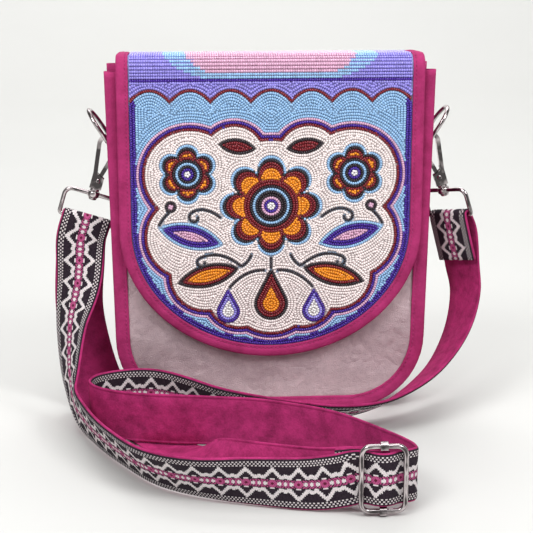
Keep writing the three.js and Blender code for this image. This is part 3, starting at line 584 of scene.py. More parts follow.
def strap_section():
    """Points round the strap, and the material index of the side after each."""
    top = [(-18, 0.4), (-17.7, 1.1), (-16.8, 1.4), (-9, 1.4)]
    top += [(0, 1.4)] + [(-a, b) for a, b in top[::-1]]
    rim = [(18.7, 0.25), (19, -0.3), (18.85, -1), (18.2, -1.4), (17.4, -1.36), (16.9, -1.05), (16.4, -1.34)]
    under = [(8, -1.4), (0, -1.4), (-8, -1.4)]
    points = top + rim + under + [(-a, b) for a, b in rim[::-1]]
    woven = len(top) - 1
    return np.array(points), [0] * woven + [1] * (len(points) - woven)


STRAP_STEPS = 8
left_stations, right_stations = strap_stations()
centres, widths = np.swapaxes(left_stations + right_stations, 0, 1)
strap_line = spline(centres, STRAP_STEPS, 0.25)
strap_across = spline(widths, STRAP_STEPS, 0)
strap_run = run_along(strap_line)
strap_cut = (len(left_stations) - 1) * STRAP_STEPS


def strap_piece(side, rows, node):
    """One length of strap, lofted along its stretch of the strap's line."""
    section, slots = strap_section()
    across, off = section.T
    ahead = heading(strap_line)
    wide = unit(strap_across - (strap_across * ahead).sum(1)[:, None] * ahead)
    face = np.cross(ahead, wide)[rows, None]
    line, run = strap_line[rows], strap_run[rows, None]
    edge = 1 + 0.006 * np.sin(run / 23) + 0.005 * np.sin(run / 9.1 + 2)
    rings = line[:, None] + wide[rows, None] * (across * edge)[..., None]
    # Beside the slider's uprights the strap is pressed thin and flat
    beside = np.maximum(np.abs(np.abs(line[:, :1] - SLIDER_X) - 15) - 4, 0)
    near = np.exp(-(beside / 4) ** 2) * (np.abs(line[:, 1:2] - SLIDER_Y) < 16)
    cockle = (0.22 * np.sin(run / 12.7) * np.sin(run / 41) + 0.12 * np.sin(run / 6.1 + 1)) * (1 - near)
    rise = off * (1 - 0.42 * near) + cockle * (1 - (across / (STRAP_WIDTH / 2)) ** 2)
    uv = columns(run, across).reshape(-1, 2)
    obj = loft(f"strap_{side}", rings + face * rise[..., None], WEBBING, STRAP_SUEDE)
    mesh = obj.data
    caps = slots[:1] * 2
    mesh.polygons.foreach_set("material_index", np.array(slots * (len(line) - 1) + caps, np.int32))
    corners = np.empty(len(mesh.loops), np.int32)
    mesh.loops.foreach_get("vertex_index", corners)
    mesh.uv_layers.new(name="UVMap").data.foreach_set("uv", uv.astype(np.float32)[corners].ravel())
    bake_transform(obj)
    finish_piece(obj, None, "webbing", node)
    return obj, place(line)


straps = {
    "left": strap_piece("left", slice(0, strap_cut + 1), "strap_suede"),
    "right": strap_piece("right", slice(strap_cut, None), "strap_webbing"),
}


# Body outline
def body_half(z):
    """Half the body's width at a height above its corners."""
    return TOP_HALF - TAPER * (HEIGHT - z) / HEIGHT


CORNER_X = body_half(CORNER) - CORNER
LEAST_HALF = 0.1


def half_inside(level, inset):
    """Half the width at any height, inset from the bindings' outer edge."""
    if level >= CORNER:
        return body_half(level) - inset
    return CORNER_X + sqrt(max((CORNER - inset) ** 2 - (CORNER - level) ** 2, LEAST_HALF ** 2))


def body_path(inset, top):
    """The U down the left and up the right, inset from the bindings' outer edge: x and z."""
    z = np.linspace(top, CORNER, 40, endpoint=False)
    left = columns(inset - body_half(z), z)
    corner = arcs((-CORNER_X, CORNER, CORNER - inset, 180, 270, 14))
    floor = columns(np.linspace(-CORNER_X, 0, 24)[1:], inset)
    return both_halves(np.vstack((left, corner, floor)))


def sweep(section, top):
    """Rings along the U from section points of inset and y."""
    return np.stack([np.insert(body_path(inset, top), 1, y, axis=1) for inset, y in section], 1)


# Bindings: suede strips folded over the seams, rounded at their edges and pressed in along the stitching
def binding_section(side):
    out, back = FACE_Y + SUEDE, FLANGE_BACK - SUEDE
    points = [
        (BINDING, FACE_Y + 0.05), (BINDING, out - 0.35), (BINDING - 0.5, out), (BINDING - 1.6, out + 0.05),
        (BINDING - 2.3, out - 0.35), (BINDING - 3, out + 0.1), (5, out + 0.35), (2, out + 0.2),
        (0.7, out - 0.2), (0.05, out - 1.2), (0, (out + back) / 2), (0.05, back + 1.2), (0.6, back + 0.3),
        (1.8, back - 0.05), (BINDING - 0.6, back), (BINDING, back + 0.4), (BINDING, FLANGE_BACK - 0.05),
        (1.6, FLANGE_BACK - 0.05), (1.35, FLANGE_BACK + 1), (1.35, FACE_Y - 0.9), (1.6, FACE_Y + 0.05),
    ]
    return [(inset, side * y) for inset, y in points]


RIPPLE = 0.12
for word, side in FACES.items():
    rings = sweep(binding_section(side), HEIGHT)
    ring_number = np.arange(len(rings))
    rings[:, :, 1] += RIPPLE * sum(np.sin(ring_number / w + w) for w in (3.1, 7.3))[:, None]
    suede_piece(f"binding_{word}", rings, "bag_body", f"{word}_binding")

# Stitches: along a stitch, its place and its thickness
STITCH_RINGS = (-1, 0.25), (-0.6, 0.9), (0, 1), (0.6, 0.9), (1, 0.25)
STITCH_SIDES = 6
STITCH_SHARE = 0.72
STITCH_WIDTH = 0.38


def stitches(name, path, out, pitch, body):
    """Short pinched lengths of thread that dip into the surface at their ends."""
    run = run_along(path)
    stops = np.arange(pitch / 2, run[-1], pitch)
    middle, lift = follow(path, run, stops), follow(out, run, stops)
    ahead = unit(follow(path, run, stops + 0.4) - middle)
    round_it = spokes(np.cross(lift, ahead), lift, STITCH_SIDES)
    rings = []
    for t, r in STITCH_RINGS:
        centre = middle + ahead * t * pitch * STITCH_SHARE / 2 + lift * STITCH_WIDTH * (0.55 - 0.75 * t * t)
        rings.append(centre[:, None] + STITCH_WIDTH * r * round_it)
    points = np.hstack(rings)
    faces = repeat_faces(loft_faces(len(STITCH_RINGS), STITCH_SIDES), points.shape[1], len(points))
    obj = add_mesh(name, place(points.reshape(-1, 3)), faces, THREAD)
    fix_normals(obj)
    finish_piece(obj, body, "magenta_suede")


for word, side in FACES.items():
    line = body_path(BINDING - 2.3, HEIGHT - 3)
    path = np.insert(line, 1, side * (FACE_Y + SUEDE - 0.3), axis=1)
    stitches(f"stitches_{word}", path, np.tile((0, side, 0), (len(line), 1)), 3.4, "bag_body")

# Panels
PANEL_POINTS = 61
PANEL_BULGE = 1.4


def panel(word, tongue_top=None):
    """A leather panel, crowned a little and creased low down, and a tongue above it if asked."""
    z = np.append(np.linspace(0.2, 60, 34) + 1.3, np.linspace(64, FRONT_TOP, 46))
    half = np.array([half_inside(level, SEAM_INSET) for level in z])
    if tongue_top:
        z = np.append(z, np.linspace(FRONT_TOP, tongue_top, 6))
        half = np.append(half, np.full(6, body_half(HEIGHT) - BINDING - CLEARANCE))
    share = np.linspace(-1, 1, PANEL_POINTS)
    x, z = half[:, None] * share, z[:, None]
    crown = PANEL_BULGE * np.sin(pi * np.clip(z / HEIGHT, 0, 1)) ** 0.8 * (1 - share ** 2)
    low = np.exp(-((z - 40) / 55) ** 2)
    slant = np.sin((x * 0.6 + z) / 9 + 0.7 * np.sin(x / 21)) * np.sin((x - z) / 31)
    wave = 0.3 * np.sin(x / 17 + 1) * np.sin(z / 23) + low * (0.75 * slant - 0.3)
    outer = columns(x, FACES[word] * (FACE_Y + crown + wave), z)
    inner = columns(x, FACES[word] * (PANEL_BACK + crown * 0.4), z)
    obj = loft(f"panel_{word}", np.hstack((outer, inner[:, ::-1])), WHITE_LEATHER)
    finish_piece(obj, "bag_body", "white_leather", f"{word}_panel")


panel("front")
panel("back", HINGE_Z - 1.2)


# Gusset: a wall between the seams that dips a little in the middle, with its turned-out edges
def gusset_section():
    wall, inner, seam = BINDING + 0.3, BINDING + 1.7, 2
    flange_in, flange_out = FLANGE_BACK + 0.05, PANEL_BACK - 0.05

    def dipped(inset, end):
        y = np.linspace(-end, end, 15)
        return [*zip(inset + GUSSET_DIP * (1 - (y / flange_in) ** 2), y)]

    edge = [(wall - 0.4, flange_in - 0.3), (seam, flange_in), (seam, flange_out), (inner, flange_out)]
    far_edge = [(inset, -y) for inset, y in edge[::-1]]
    return dipped(wall, flange_in - 1.2) + edge + dipped(inner, 1.5 - flange_out) + far_edge


suede_piece("gusset_wall", sweep(gusset_section(), FRONT_TOP), "bag_body", "gusset")


# Hem on the front panel's top edge
def hem_rings():
    out, back, face, inside = FACE_Y + SUEDE, FLANGE_BACK, -FACE_Y - 0.02, -PANEL_BACK + 0.02
    low, top = FRONT_TOP - BINDING, FRONT_TOP + SUEDE
    section = np.array([
        (face, low), (-out + 0.3, low), (-out, low + 0.5), (-out - 0.05, low + 1.8), (-out + 0.3, low + 2.5),
        (-out - 0.1, low + 3.2), (-out - 0.1, top - 2), (-out + 0.35, top - 0.6), (-out + 1.2, top),
        (-back - 0.9, top), (-back - 0.25, top - 0.5), (-back, top - 1.6), (-back, low + 0.4),
        (-back - 0.3, low), (inside, low), (inside, FRONT_TOP - 0.1), (face, FRONT_TOP - 0.1),
    ])
    half = body_half(FRONT_TOP) - BINDING - 2
    x = np.linspace(-half, half, 90)[:, None]
    y, z = section[:, 0] + 0.1 * np.sin(x / 11), section[:, 1] + 0.12 * np.sin(x / 19 + 1)
    return columns(x, y, z)


suede_piece("hem", hem_rings(), "bag_body", "front_top_binding")


# Lining pouch: squarish rings up the outside and down the inside
def lining_piece():
    inset = BINDING + 1.3 + GUSSET_DIP
    depth, floor, cloth, squareness = PANEL_BACK - 0.6, 16.5, 0.8, 0.22
    z = np.append(np.linspace(15, CORNER, 16), np.linspace(70, FRONT_TOP - BINDING - 0.5, 26))
    turn = full_turn(96)
    square_x, square_y = (np.sign(c) * np.abs(c) ** squareness for c in (np.cos(turn), np.sin(turn)))

    def ring(level, offset):
        x = (half_inside(level, inset) - offset) * square_x
        y = (depth - offset) * square_y
        crease = 0.25 * np.sin(x / 9 + level / 31)
        return columns(x, y + crease * np.sign(-y), level)

    outside = [ring(level, 0) for level in z]
    inside = [ring(max(level, floor), cloth) for level in z[::-1]]
    finish_piece(loft("lining", np.array(outside + inside), LINING), "bag_body", "lining", "lining_pouch")


lining_piece()


# Flap: an unrolled height h equals z on the front and runs on over the bend and the top to the hinge
def flap_line():
    """The flap's middle line up to the hinge: h, then y and z, then the outward normal."""
    low = 20
    hinge, corner = np.array((HINGE_Y, HINGE_Z)), np.array((FLAP_FRONT_Y, FLAP_TOP_Z))
    start, end = corner - (0, FLAP_BEND), corner + unit(hinge - corner) * FLAP_BEND
    bend = bent_line(start, corner, end, 25)
    front = columns(FLAP_FRONT_Y, np.linspace(low, start[1], 60, endpoint=False))
    over = end + (hinge - end) * np.linspace(0, 1, 16)[1:, None]
    points = np.vstack((front, bend, over))
    return run_along(points) + low, points, heading(points)[:, ::-1] * (-1, 1)


LINE_H, LINE, LINE_OUT = flap_line()
HINGE_H = LINE_H[-1]


def flap_frame(h):
    """Outward and upward directions on the flap at h."""
    y, z = np.moveaxis(follow(LINE_OUT, LINE_H, h), -1, 0)
    return columns(0, y, z), columns(0, z, -y)


def flap_point(x, h, d):
    """Bag-frame points on the flap: x across, h unrolled height, d off its middle."""
    yz = follow(LINE, LINE_H, h) + follow(LINE_OUT, LINE_H, h) * np.expand_dims(d, -1)
    return columns(x, *np.moveaxis(yz, -1, 0))


def flap_rim(inset, steps=44):
    """The flap's outline moved in by inset, down the left and up the right: x and h."""
    half, drop = FLAP_HALF - inset, FLAP_DROP - inset
    h = np.linspace(HINGE_H - 2, FLAP_TURN, steps, endpoint=False)
    turn = np.linspace(pi, 1.5 * pi, 40)
    below = columns(half * np.cos(turn), FLAP_TURN + drop * np.sin(turn))
    return both_halves(np.vstack((columns(-half, h), below)))


def flap_rows(inset, round_rows, first, last, rows):
    """Heights up the flap and its half width at each, moved in by inset."""
    turn = np.linspace(0.03, pi / 2, round_rows)
    h = np.append(FLAP_TURN - (FLAP_DROP - inset) * np.cos(turn), np.linspace(first, last, rows))
    drop = np.clip((FLAP_TURN - h) / (FLAP_DROP - inset), 0, 1)
    return h[:, None], (FLAP_HALF - inset) * np.sqrt(1 - drop ** 2)[:, None]


def flap_layer(h, over, under, out, back):
    """Rings of a sheet between two distances off the flap's middle."""
    return np.hstack((flap_point(over, h, out), flap_point(under, h, back)))


sheet_h, sheet_half = flap_rows(SEAM_INSET, 30, 152, HINGE_H, 60)
sheet_x = sheet_half * np.linspace(-1, 1, 41)
sheet = flap_layer(sheet_h, sheet_x, sheet_x[:, ::-1], 0.85, -0.85)
suede_piece("flap_sheet", sheet, "flap", "flap_leather")


def flap_binding_rings():
    width, out, back = FLAP_BINDING, BEAD_TOP, -LEATHER / 2 - CLEARANCE - SUEDE
    section = [
        (width, 1), (width, out - 0.5), (width - 0.5, out - 0.05), (width - 1.5, out),
        (width - 2.1, out - 0.4), (width - 2.7, out), (4.5, out + 0.25), (1.8, out + 0.05), (0.5, out - 0.5),
        (0, out - 1.6),
        (0, back + 1.2), (0.5, back + 0.25), (1.6, back), (width - 0.6, back), (width, back + 0.4),
        (width, -0.95), (1.8, -0.95), (1.8, 1),
    ]
    return np.stack([flap_point(*flap_rim(inset).T, d) for inset, d in section], 1)


suede_piece("flap_edge", flap_binding_rings(), "flap", "flap_binding")
line = flap_rim(FLAP_BINDING - 2.1, 90)
stitches("stitches_flap", flap_point(*line.T, BEAD_TOP - 0.3), flap_frame(line[:, 1])[0], 3.2, "flap")

# Beadwork: zones are fields of distance inside them, on a grid over the unrolled flap
ROW = 2.2
BEAD = 1.75
BEAD_GAP = 1.4
SPARE_GAP = 1.5
STEM_MARGIN = 0.2
ROW_MARGIN = 0.75
SPARE_MARGIN = 0.8
BEAD_EDGE = FLAP_BINDING + 0.3
COLORS = {
    "cream": (0.88, 0.785, 0.77),
    "blue": (0.31, 0.52, 0.78),
    "violet": (0.055, 0.014, 0.29),
    "periwinkle": (0.31, 0.27, 0.74),
    "maroon": (0.2, 0.008, 0.016),
    "orange": (0.9, 0.31, 0.014),
    "mauve": (0.7, 0.41, 0.57),
    "white": (0.88, 0.86, 0.85),
    "black": (0.018, 0.01, 0.016),
}
UNIT = FLAP_HALF / 100
TOP_ROWS = FLAP_TURN + 98 * UNIT
HINGE_ROOM = 2.4
GRID = 0.8
grid_x = np.arange(-110, 110 + GRID, GRID)
grid_h = np.arange(50, HINGE_H, GRID)
GX, GH = np.meshgrid(grid_x, grid_h)


# Places in the design are hundredths of the flap's half width, from its middle where its sides turn round
def spot(x, h, radius):
    return radius * UNIT - np.hypot(GX - x * UNIT, GH - FLAP_TURN - h * UNIT)


def blossom(x, h, outer, hollow, petals):
    dx, dh = GX - x * UNIT, GH - FLAP_TURN - h * UNIT
    lobe = np.abs(np.cos(petals * np.arctan2(dx, dh) / 2)) ** 0.6
    return (outer * UNIT * (1 - hollow + hollow * lobe) - np.hypot(dx, dh)) * 0.92


def lens(a, b, width):
    """A pointed leaf from a to b."""
    a, b = (np.array((0, FLAP_TURN)) + np.array(p) * UNIT for p in (a, b))
    chord = np.linalg.norm(b - a)
    rise = width * UNIT / 2
    radius = (chord ** 2 / 4 + rise ** 2) / (2 * rise)
    aside = np.array((a[1] - b[1], b[0] - a[0])) / chord
    ends = [(a + b) / 2 + aside * k * (radius - rise) for k in (-1, 1)]
    return np.minimum(*[radius - np.hypot(GX - c[0], GH - c[1]) for c in ends])


def teardrop(x, top, bottom, half):
    cx, ch, r = x * UNIT, FLAP_TURN + (bottom + half) * UNIT, half * UNIT
    tip = FLAP_TURN + top * UNIT
    lean = asin(r / (tip - ch))
    cone = (tip - GH) * sin(lean) - np.abs(GX - cx) * cos(lean)
    upper = GH > ch + r * sin(lean)
    return np.where(upper, np.minimum(cone, GH - ch + r), r - np.hypot(GX - cx, GH - ch))


def panel_distance():
    """The whole beaded panel: straight sides, and a half ellipse below."""
    a, b = FLAP_HALF - BEAD_EDGE, FLAP_DROP - BEAD_EDGE
    h = np.minimum(GH - FLAP_TURN, 0)
    k0 = np.hypot(GX / a, h / b)
    k1 = np.hypot(GX / a ** 2, h / b ** 2) + 1e-9
    return np.where(GH >= FLAP_TURN, a - np.abs(GX), (1 - k0) * k0 / k1)


def band_distance():
    """All above the top band's scalloped lower edge."""
    half, scallops, low, depth = FLAP_HALF - BEAD_EDGE, 7, 83.5, 8
    pitch = 2 * half / scallops
    share = ((GX + half) / pitch) % 1
    edge = FLAP_TURN + (low + 4 * depth * share * (1 - share)) * UNIT
    slope = 4 * depth * UNIT / pitch * (1 - 2 * share)
    return (GH - edge) / np.hypot(1, slope)


def mirrored(shape):
    return np.maximum(shape, shape[:, ::-1])


def common(*shapes):
    """What is inside all of the shapes."""
    return np.minimum.reduce(shapes)


def stem(start, bend, end, curl=0):
    """A curved line of beads; curl winds its far end up."""
    line = bent_line(start, bend, end, 40)
    if curl:
        way = np.arctan2(*(end - bend)[::-1]) + np.sign(curl) * np.linspace(0, 1.5 * pi, 40)
        radius = np.linspace(abs(curl), abs(curl) * 0.5, 40) * 1.5 * pi / 40
        steps = columns(np.cos(way), np.sin(way)) * radius[:, None]
        line = np.vstack((line, end + np.cumsum(steps, 0)))
    return line * UNIT + (0, FLAP_TURN)


panel_in = panel_distance()
band_in = band_distance()
medallion = np.maximum(spot(0, 15.7, 43.5), spot(0, -43.5, 27.8))
for lobe in (
    (53, 36.5, 29.6), (54.8, -5.2, 27), (43.5, -32.2, 22.6), (20.9, -46.1, 20.9), (29.6, -15.7, 20.9),
    (24.3, 49.6, 19.1),
):
    medallion = np.maximum(medallion, mirrored(spot(*lobe)))
rosette_eye = spot(0, 15.7, 10.4)
flower_eye = mirrored(spot(54.8, 37.4, 6.1))
motifs = {
    "rosette": common(blossom(0, 15.7, 33.9, 0.3, 8), -rosette_eye),
    "flower": common(mirrored(blossom(54.8, 37.4, 20, 0.28, 6)), -flower_eye),
    "leaf": mirrored(lens((31.3, -10.4), (74.8, 1.7), 17.4)),
    "leaf_low": mirrored(lens((20.9, -26.1), (62.6, -36.5), 15.7)),
    "leaf_up": mirrored(lens((9.6, 53.9), (34.8, 57.4), 10.4)),
    "drop": teardrop(0, -26.1, -62.6, 11.3),
    "side_drop": mirrored(teardrop(28.7, -40, -64.3, 7.8)),
    "berry": mirrored(spot(66.1, 15.7, 3.9)),
    "rosette_eye": rosette_eye,
    "flower_eye": flower_eye,
}
stems = [stem(*np.array(((0, -17), (0, -22), (0, -27))))]
for *points, curl in (
    ((33, 8), (44, 17), (52, 12), -4), ((20, -25), (34, -13), (47, -19), -3.6),
    ((13, -17), (15, -23), (21, -26), 0), ((4, -28), (17, -27), (28, -40), 0),
    ((67, 12), (71, 9), (74, 3), 0),
):
    stems += [stem(*np.array(points) * (flip, 1), curl * flip) for flip in (-1, 1)]
STEM_HALF = 1.15
stem_room = common(medallion, *[-shape for shape in motifs.values()])
ground = common(stem_room, *[np.hypot(GX - x, GH - h) - STEM_HALF for line in stems for x, h in line[::2]])
OUTLINE = 3 * ROW - 0.3
outline_in = medallion + OUTLINE + 0.3
fields = {
    "top": common(GH - TOP_ROWS, HINGE_H - HINGE_ROOM - GH, panel_in),
    "band": common(band_in, panel_in, TOP_ROWS - GH),
    "outline": common(-medallion, outline_in, panel_in, -band_in),
    "ground": ground,
    **motifs,
    "outer": common(panel_in, -medallion - OUTLINE, -band_in),
}
# Each zone's rows count from its own edge: the outline's from its outer edge, the band's from its scallops
row_source = dict(fields, top=GH - TOP_ROWS, band=band_in, outline=outline_in)
ROW_COLORS = {
    "top": "violet periwinkle",
    "band": "maroon periwinkle",
    "outline": "mauve violet maroon",
    "ground": "cream",
    "rosette": "blue black maroon maroon orange",
    "rosette_eye": "black black mauve violet white",
    "flower": "blue black maroon orange",
    "flower_eye": "black violet white",
    "leaf": "blue violet violet mauve",
    "leaf_low": "black maroon orange",
    "leaf_up": "black maroon",
    "drop": "black maroon maroon orange",
    "side_drop": "violet periwinkle white",
    "berry": "black mauve",
    "outer": "blue",
}


def contour(values, level):
    """Lines of x, h points along which a gridded field has a level."""
    f = values - level
    inside = (f > 0) * 1
    corners_in = inside[:-1, :-1] + inside[:-1, 1:] + inside[1:, 1:] + inside[1:, :-1]
    links = {}
    for i, j in np.argwhere((corners_in > 0) & (corners_in < 4)):
        corners = [(i, j), (i, j + 1), (i + 1, j + 1), (i + 1, j)]
        sides = [tuple(sorted((corners[k], corners[k - 3]))) for k in range(4)]
        for k in range(4):
            if inside[corners[k]] > inside[corners[k - 3]]:
                # From the side where a walk round the corners goes out back to the one where it came in
                entry = k - 1
                while inside[corners[entry]]:
                    entry -= 1
                links.setdefault(sides[entry], []).append(sides[k])
                links.setdefault(sides[k], []).append(sides[entry])

    def crossing(a, b):
        start, end = (np.array((grid_x[j], grid_h[i])) for i, j in (a, b))
        return start + f[a] / (f[a] - f[b]) * (end - start)

    lines, used = [], set()
    ends = [key for key, near in links.items() if len(near) == 1]
    for start in ends + list(links):
        if start in used:
            continue
        chain, following = [], [start]
        while following:
            chain.append(following[0])
            used.add(chain[-1])
            following = [key for key in links[chain[-1]] if key not in used]
        if len(chain) > 2 and start in links[chain[-1]]:
            chain.append(start)
        lines.append(np.array([crossing(*key) for key in chain]))
    return lines


def sample(values, x, h):
    """A gridded field's value at points."""
    j = np.clip(((x - grid_x[0]) / GRID).astype(int), 0, len(grid_x) - 2)
    i = np.clip(((h - grid_h[0]) / GRID).astype(int), 0, len(grid_h) - 2)
    s, t = (x - grid_x[j]) / GRID, (h - grid_h[i]) / GRID
    low = values[i, j] * (1 - s) + values[i, j + 1] * s
    high = values[i + 1, j] * (1 - s) + values[i + 1, j + 1] * s
    return low * (1 - t) + high * t


class Sown:
    """Beads laid so far, in square bins, so that no two share a place."""

    BIN = 2.5

    def __init__(self):
        self.bins = {}
        self.beads = []

    def free(self, x, h, gap):
        ci, cj = x // self.BIN, h // self.BIN
        near = [self.bins.get((ci + i, cj + j), ()) for i in (-1, 0, 1) for j in (-1, 0, 1)]
        return all((b[0] - x) ** 2 + (b[1] - h) ** 2 >= gap * gap for beads in near for b in beads)

    def lay(self, x, h, angle, color, gap=BEAD_GAP):
        if self.free(x, h, gap):
            bead = (x, h, angle, color)
            self.bins.setdefault((x // self.BIN, h // self.BIN), []).append(bead)
            self.beads.append(bead)


def bead_color(zone, row, x, h):
    """A bead's colour, with a violet rim and a waisted mauve field on the top."""
    if zone == "outer" and sample(panel_in, x, h) < 2 * ROW:
        return "violet"
    if zone == "top" and row >= 1:
        half, waist, waist_rows, margin = 64, 34, 9, 16
        aside = abs(x) - half + waist * max(0, 1 - row / waist_rows) ** 2
        return "mauve" if aside < 0 and row >= 3 else "blue" if aside < margin else "periwinkle"
    colors = ROW_COLORS[zone].split()
    return colors[min(row, len(colors) - 1)]


def chain_beads(chain):
    """Even places along a line: x, h and the line's direction."""
    run = run_along(chain)
    count = int(run[-1] / BEAD)
    stops = (np.arange(count) + 0.5) * run[-1] / max(count, 1)
    x, h = follow(chain, run, stops).T
    nx, nh = follow(chain, run, stops + 0.5).T
    return x, h, np.arctan2(nh - h, nx - x)


def sow_beads():
    """Beads along the stems, then in each zone's rows, then wherever a zone has room left."""
    sown = Sown()
    for line in stems:
        for x, h, angle in zip(*chain_beads(line)):
            if sample(stem_room, x, h) > STEM_MARGIN:
                sown.lay(x, h, angle, "black")
    for zone, field in fields.items():
        source = row_source[zone]
        cut = np.where(field > 0.35, source, common(source, field))
        for row in range(int(source.max() / ROW + 0.5)):
            for chain in contour(cut, (row + 0.5) * ROW):
                for x, h, angle in zip(*chain_beads(chain)):
                    if sample(field, x, h) > ROW_MARGIN:
                        sown.lay(x, h, angle, bead_color(zone, row, x, h))
        rise, slide = np.gradient(source)
        spare = np.argwhere(field > SPARE_MARGIN)
        rng.shuffle(spare)
        for i, j in spare:
            x, h = grid_x[j], grid_h[i]
            if sown.free(x, h, SPARE_GAP):
                color = bead_color(zone, int(source[i, j] / ROW), x, h)
                sown.lay(x, h, atan2(slide[i, j], -rise[i, j]), color, SPARE_GAP)
    return sown.beads


def bead_shape():
    """A flat-backed barrel with four points at each end and three rings of six."""
    half_length, half_width, height = 0.9, 1.13, 1.08
    arch = np.radians(np.linspace(-5, 185, 6))
    tip = arch[[0, 2, 3, 5]]
    rings = (-1, 0.36, tip), (-0.62, 0.86, arch), (0, 1, arch), (0.62, 0.86, arch), (1, 0.36, tip)
    points = [
        (t * half_length, r * half_width * cos(q), r * height * sin(q)) for t, r, turn in rings for q in turn
    ]
    faces = [(0, 5, 4), (0, 1, 6, 5), (1, 2, 7, 6), (2, 3, 8, 7), (3, 9, 8), (3, 0, 4, 9), (3, 2, 1, 0)]
    faces += [tuple(4 + i for i in face) for face in loft_faces(3, 6)[:-2]]
    faces += [(16, 17, 22), (17, 18, 23, 22), (18, 19, 24, 23), (19, 20, 25, 24), (20, 21, 25)]
    return np.array(points), faces + [(21, 16, 22, 25), (22, 23, 24, 25)]


def bead_piece(color, beads):
    """All beads of one colour as one mesh."""
    shape, bead_faces = bead_shape()
    n = len(beads)
    x, h, angle = np.array([b[:3] for b in beads]).T
    angle = (angle + rng.normal(0, 0.07, n))[:, None]
    size = 1 + rng.normal(0, 0.035, (n, 1, 1))
    out, up = flap_frame(h)
    right = np.array((1, 0, 0))
    along = np.cos(angle) * right + np.sin(angle) * up
    aside = np.cos(angle) * up - np.sin(angle) * right
    middle = flap_point(x, h, BEAD_TOP - 1.03 + rng.normal(0, 0.04, n))
    points = middle[:, None] + shape * size @ np.stack((along, aside, out), 1)
    faces = repeat_faces(bead_faces, len(shape), n)
    material = bead_material(f"beads_{color}", COLORS[color])
    obj = add_mesh(f"beads_{color}", place(points.reshape(-1, 3)), faces, material)
    tone = np.repeat(np.clip(rng.normal(0.6, 0.16, n), 0, 1), len(shape)).astype(np.float32)
    obj.data.attributes.new("tone", "FLOAT", "POINT").data.foreach_set("value", tone)
    return obj


BEAD_NODES = {
    "cream": ["ground"],
    "blue": ["outer_field"],
    "periwinkle": ["top_band"],
    "orange": ["rosette"] + [f"{part}_{side}" for part in ("drop", "flower_eye") for side in SIDES],
    "maroon": ["centre_drop", "flower_left", "flower_right"],
    "mauve": ["berry_left", "berry_right"],
    "violet": ["outline", "rosette_eye"]
    + [f"leaf_{part}_{side}" for part in ("upper", "middle", "lower") for side in SIDES],
}
BEAD_SLOTS = {"white": "beads_cream", "black": "beads_violet"}
beads = sow_beads()
for color in COLORS:
    obj = bead_piece(color, [b for b in beads if b[3] == color])
    nodes = [f"bead_{node}" for node in BEAD_NODES.get(color, ())]
    finish_piece(obj, "flap", BEAD_SLOTS.get(color, f"beads_{color}"), *nodes)


# Felt that the beads are sewn to
def felt_tones():
    """The felt's colour on the grid: that of the beads over it, darkened as painted shade so that gaps
    between beads read as shadow.
    """
    shade, top_half = 0.74, 58
    tones = np.tile(np.array(COLORS["blue"]), (*GX.shape, 1))
    for zone, field in reversed(fields.items()):
        colors = np.array([COLORS[c] for c in ROW_COLORS[zone].split()])
        row = np.clip((row_source[zone] / ROW).astype(int), 0, len(colors) - 1)
        tones = np.where((field > 0)[..., None], colors[row], tones)
    rim = (fields["outer"] > 0) & (panel_in < 2 * ROW)
    centre = (GH > TOP_ROWS + 2 * ROW) & (np.abs(GX) < top_half)
    tones[rim], tones[centre] = COLORS["violet"], COLORS["mauve"]
    return tones * shade


def felt_piece():
    h, half = flap_rows(FLAP_BINDING - 0.2, 60, 150, HINGE_H - 2, 96)
    over = half * np.linspace(-1, 1, 141)
    under = over[:, ::-20]
    felt = loft("bead_backing", flap_layer(h, over, under, 1.75, 0.95), felt_material())
    x = np.hstack((over, under))
    j = np.clip(np.rint((x - grid_x[0]) / GRID).astype(int), 0, len(grid_x) - 1)
    i = np.clip(np.rint((h - grid_h[0]) / GRID).astype(int), 0, len(grid_h) - 1)
    color = np.ones((*j.shape, 4), np.float32)
    color[..., :3] = felt_tones()[i, j]
    felt.data.attributes.new("tone", "FLOAT_COLOR", "POINT").data.foreach_set("color", color.ravel())
    finish_piece(felt, "flap", "magenta_suede")


felt_piece()


# Metal
def rounded_copy(node, body, width):
    """A CAD piece with its sharp edges rounded."""
    bm = bmesh.new()
    bm.from_mesh(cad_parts[node].data)
    bmesh.ops.remove_doubles(bm, verts=bm.verts, dist=1e-6)
    bmesh.ops.dissolve_limit(bm, angle_limit=radians(2), verts=bm.verts, edges=bm.edges)
    sharp = [e for e in bm.edges if len(e.link_faces) == 2 and e.calc_face_angle(0) > radians(35)]
    bmesh.ops.bevel(
        bm, geom=sharp, offset=width * MM, segments=3, profile=0.5, affect="EDGES", clamp_overlap=True,
    )
    mesh = bpy.data.meshes.new(f"{node}_metal")
    bm.to_mesh(mesh)
    bm.free()
    mesh.polygons.foreach_set("use_smooth", np.ones(len(mesh.polygons), bool))
    mesh.materials.append(NICKEL)
    obj = link(f"{node}_metal", mesh)
    obj.modifiers.new("normals", "WEIGHTED_NORMAL").keep_sharp = True
    finish_piece(obj, body, "nickel", node)


def hook_space(side, x, y, z):
    """Points of a hook's own frame (out, y, up from its ring's bar) in the bag's frame."""
    out = x * cos(HOOK_LEAN) - z * sin(HOOK_LEAN)
    up = x * sin(HOOK_LEAN) + z * cos(HOOK_LEAN)
    return columns(SIDES[side] * (RING_X + out), HOOK_Y + y, RING_Z + up)


def rounded_rectangle(width, height, low, high):
    """A rectangle's outline with lower and upper corner radii: x and z."""
    corners = (1, -1, -90, low), (1, 1, 0, high), (-1, 1, 90, high), (-1, -1, 180, low)
    return arcs(*[(x * (width / 2 - r), z * (height / 2 - r), r, a, a + 90, 8) for x, z, a, r in corners]).T


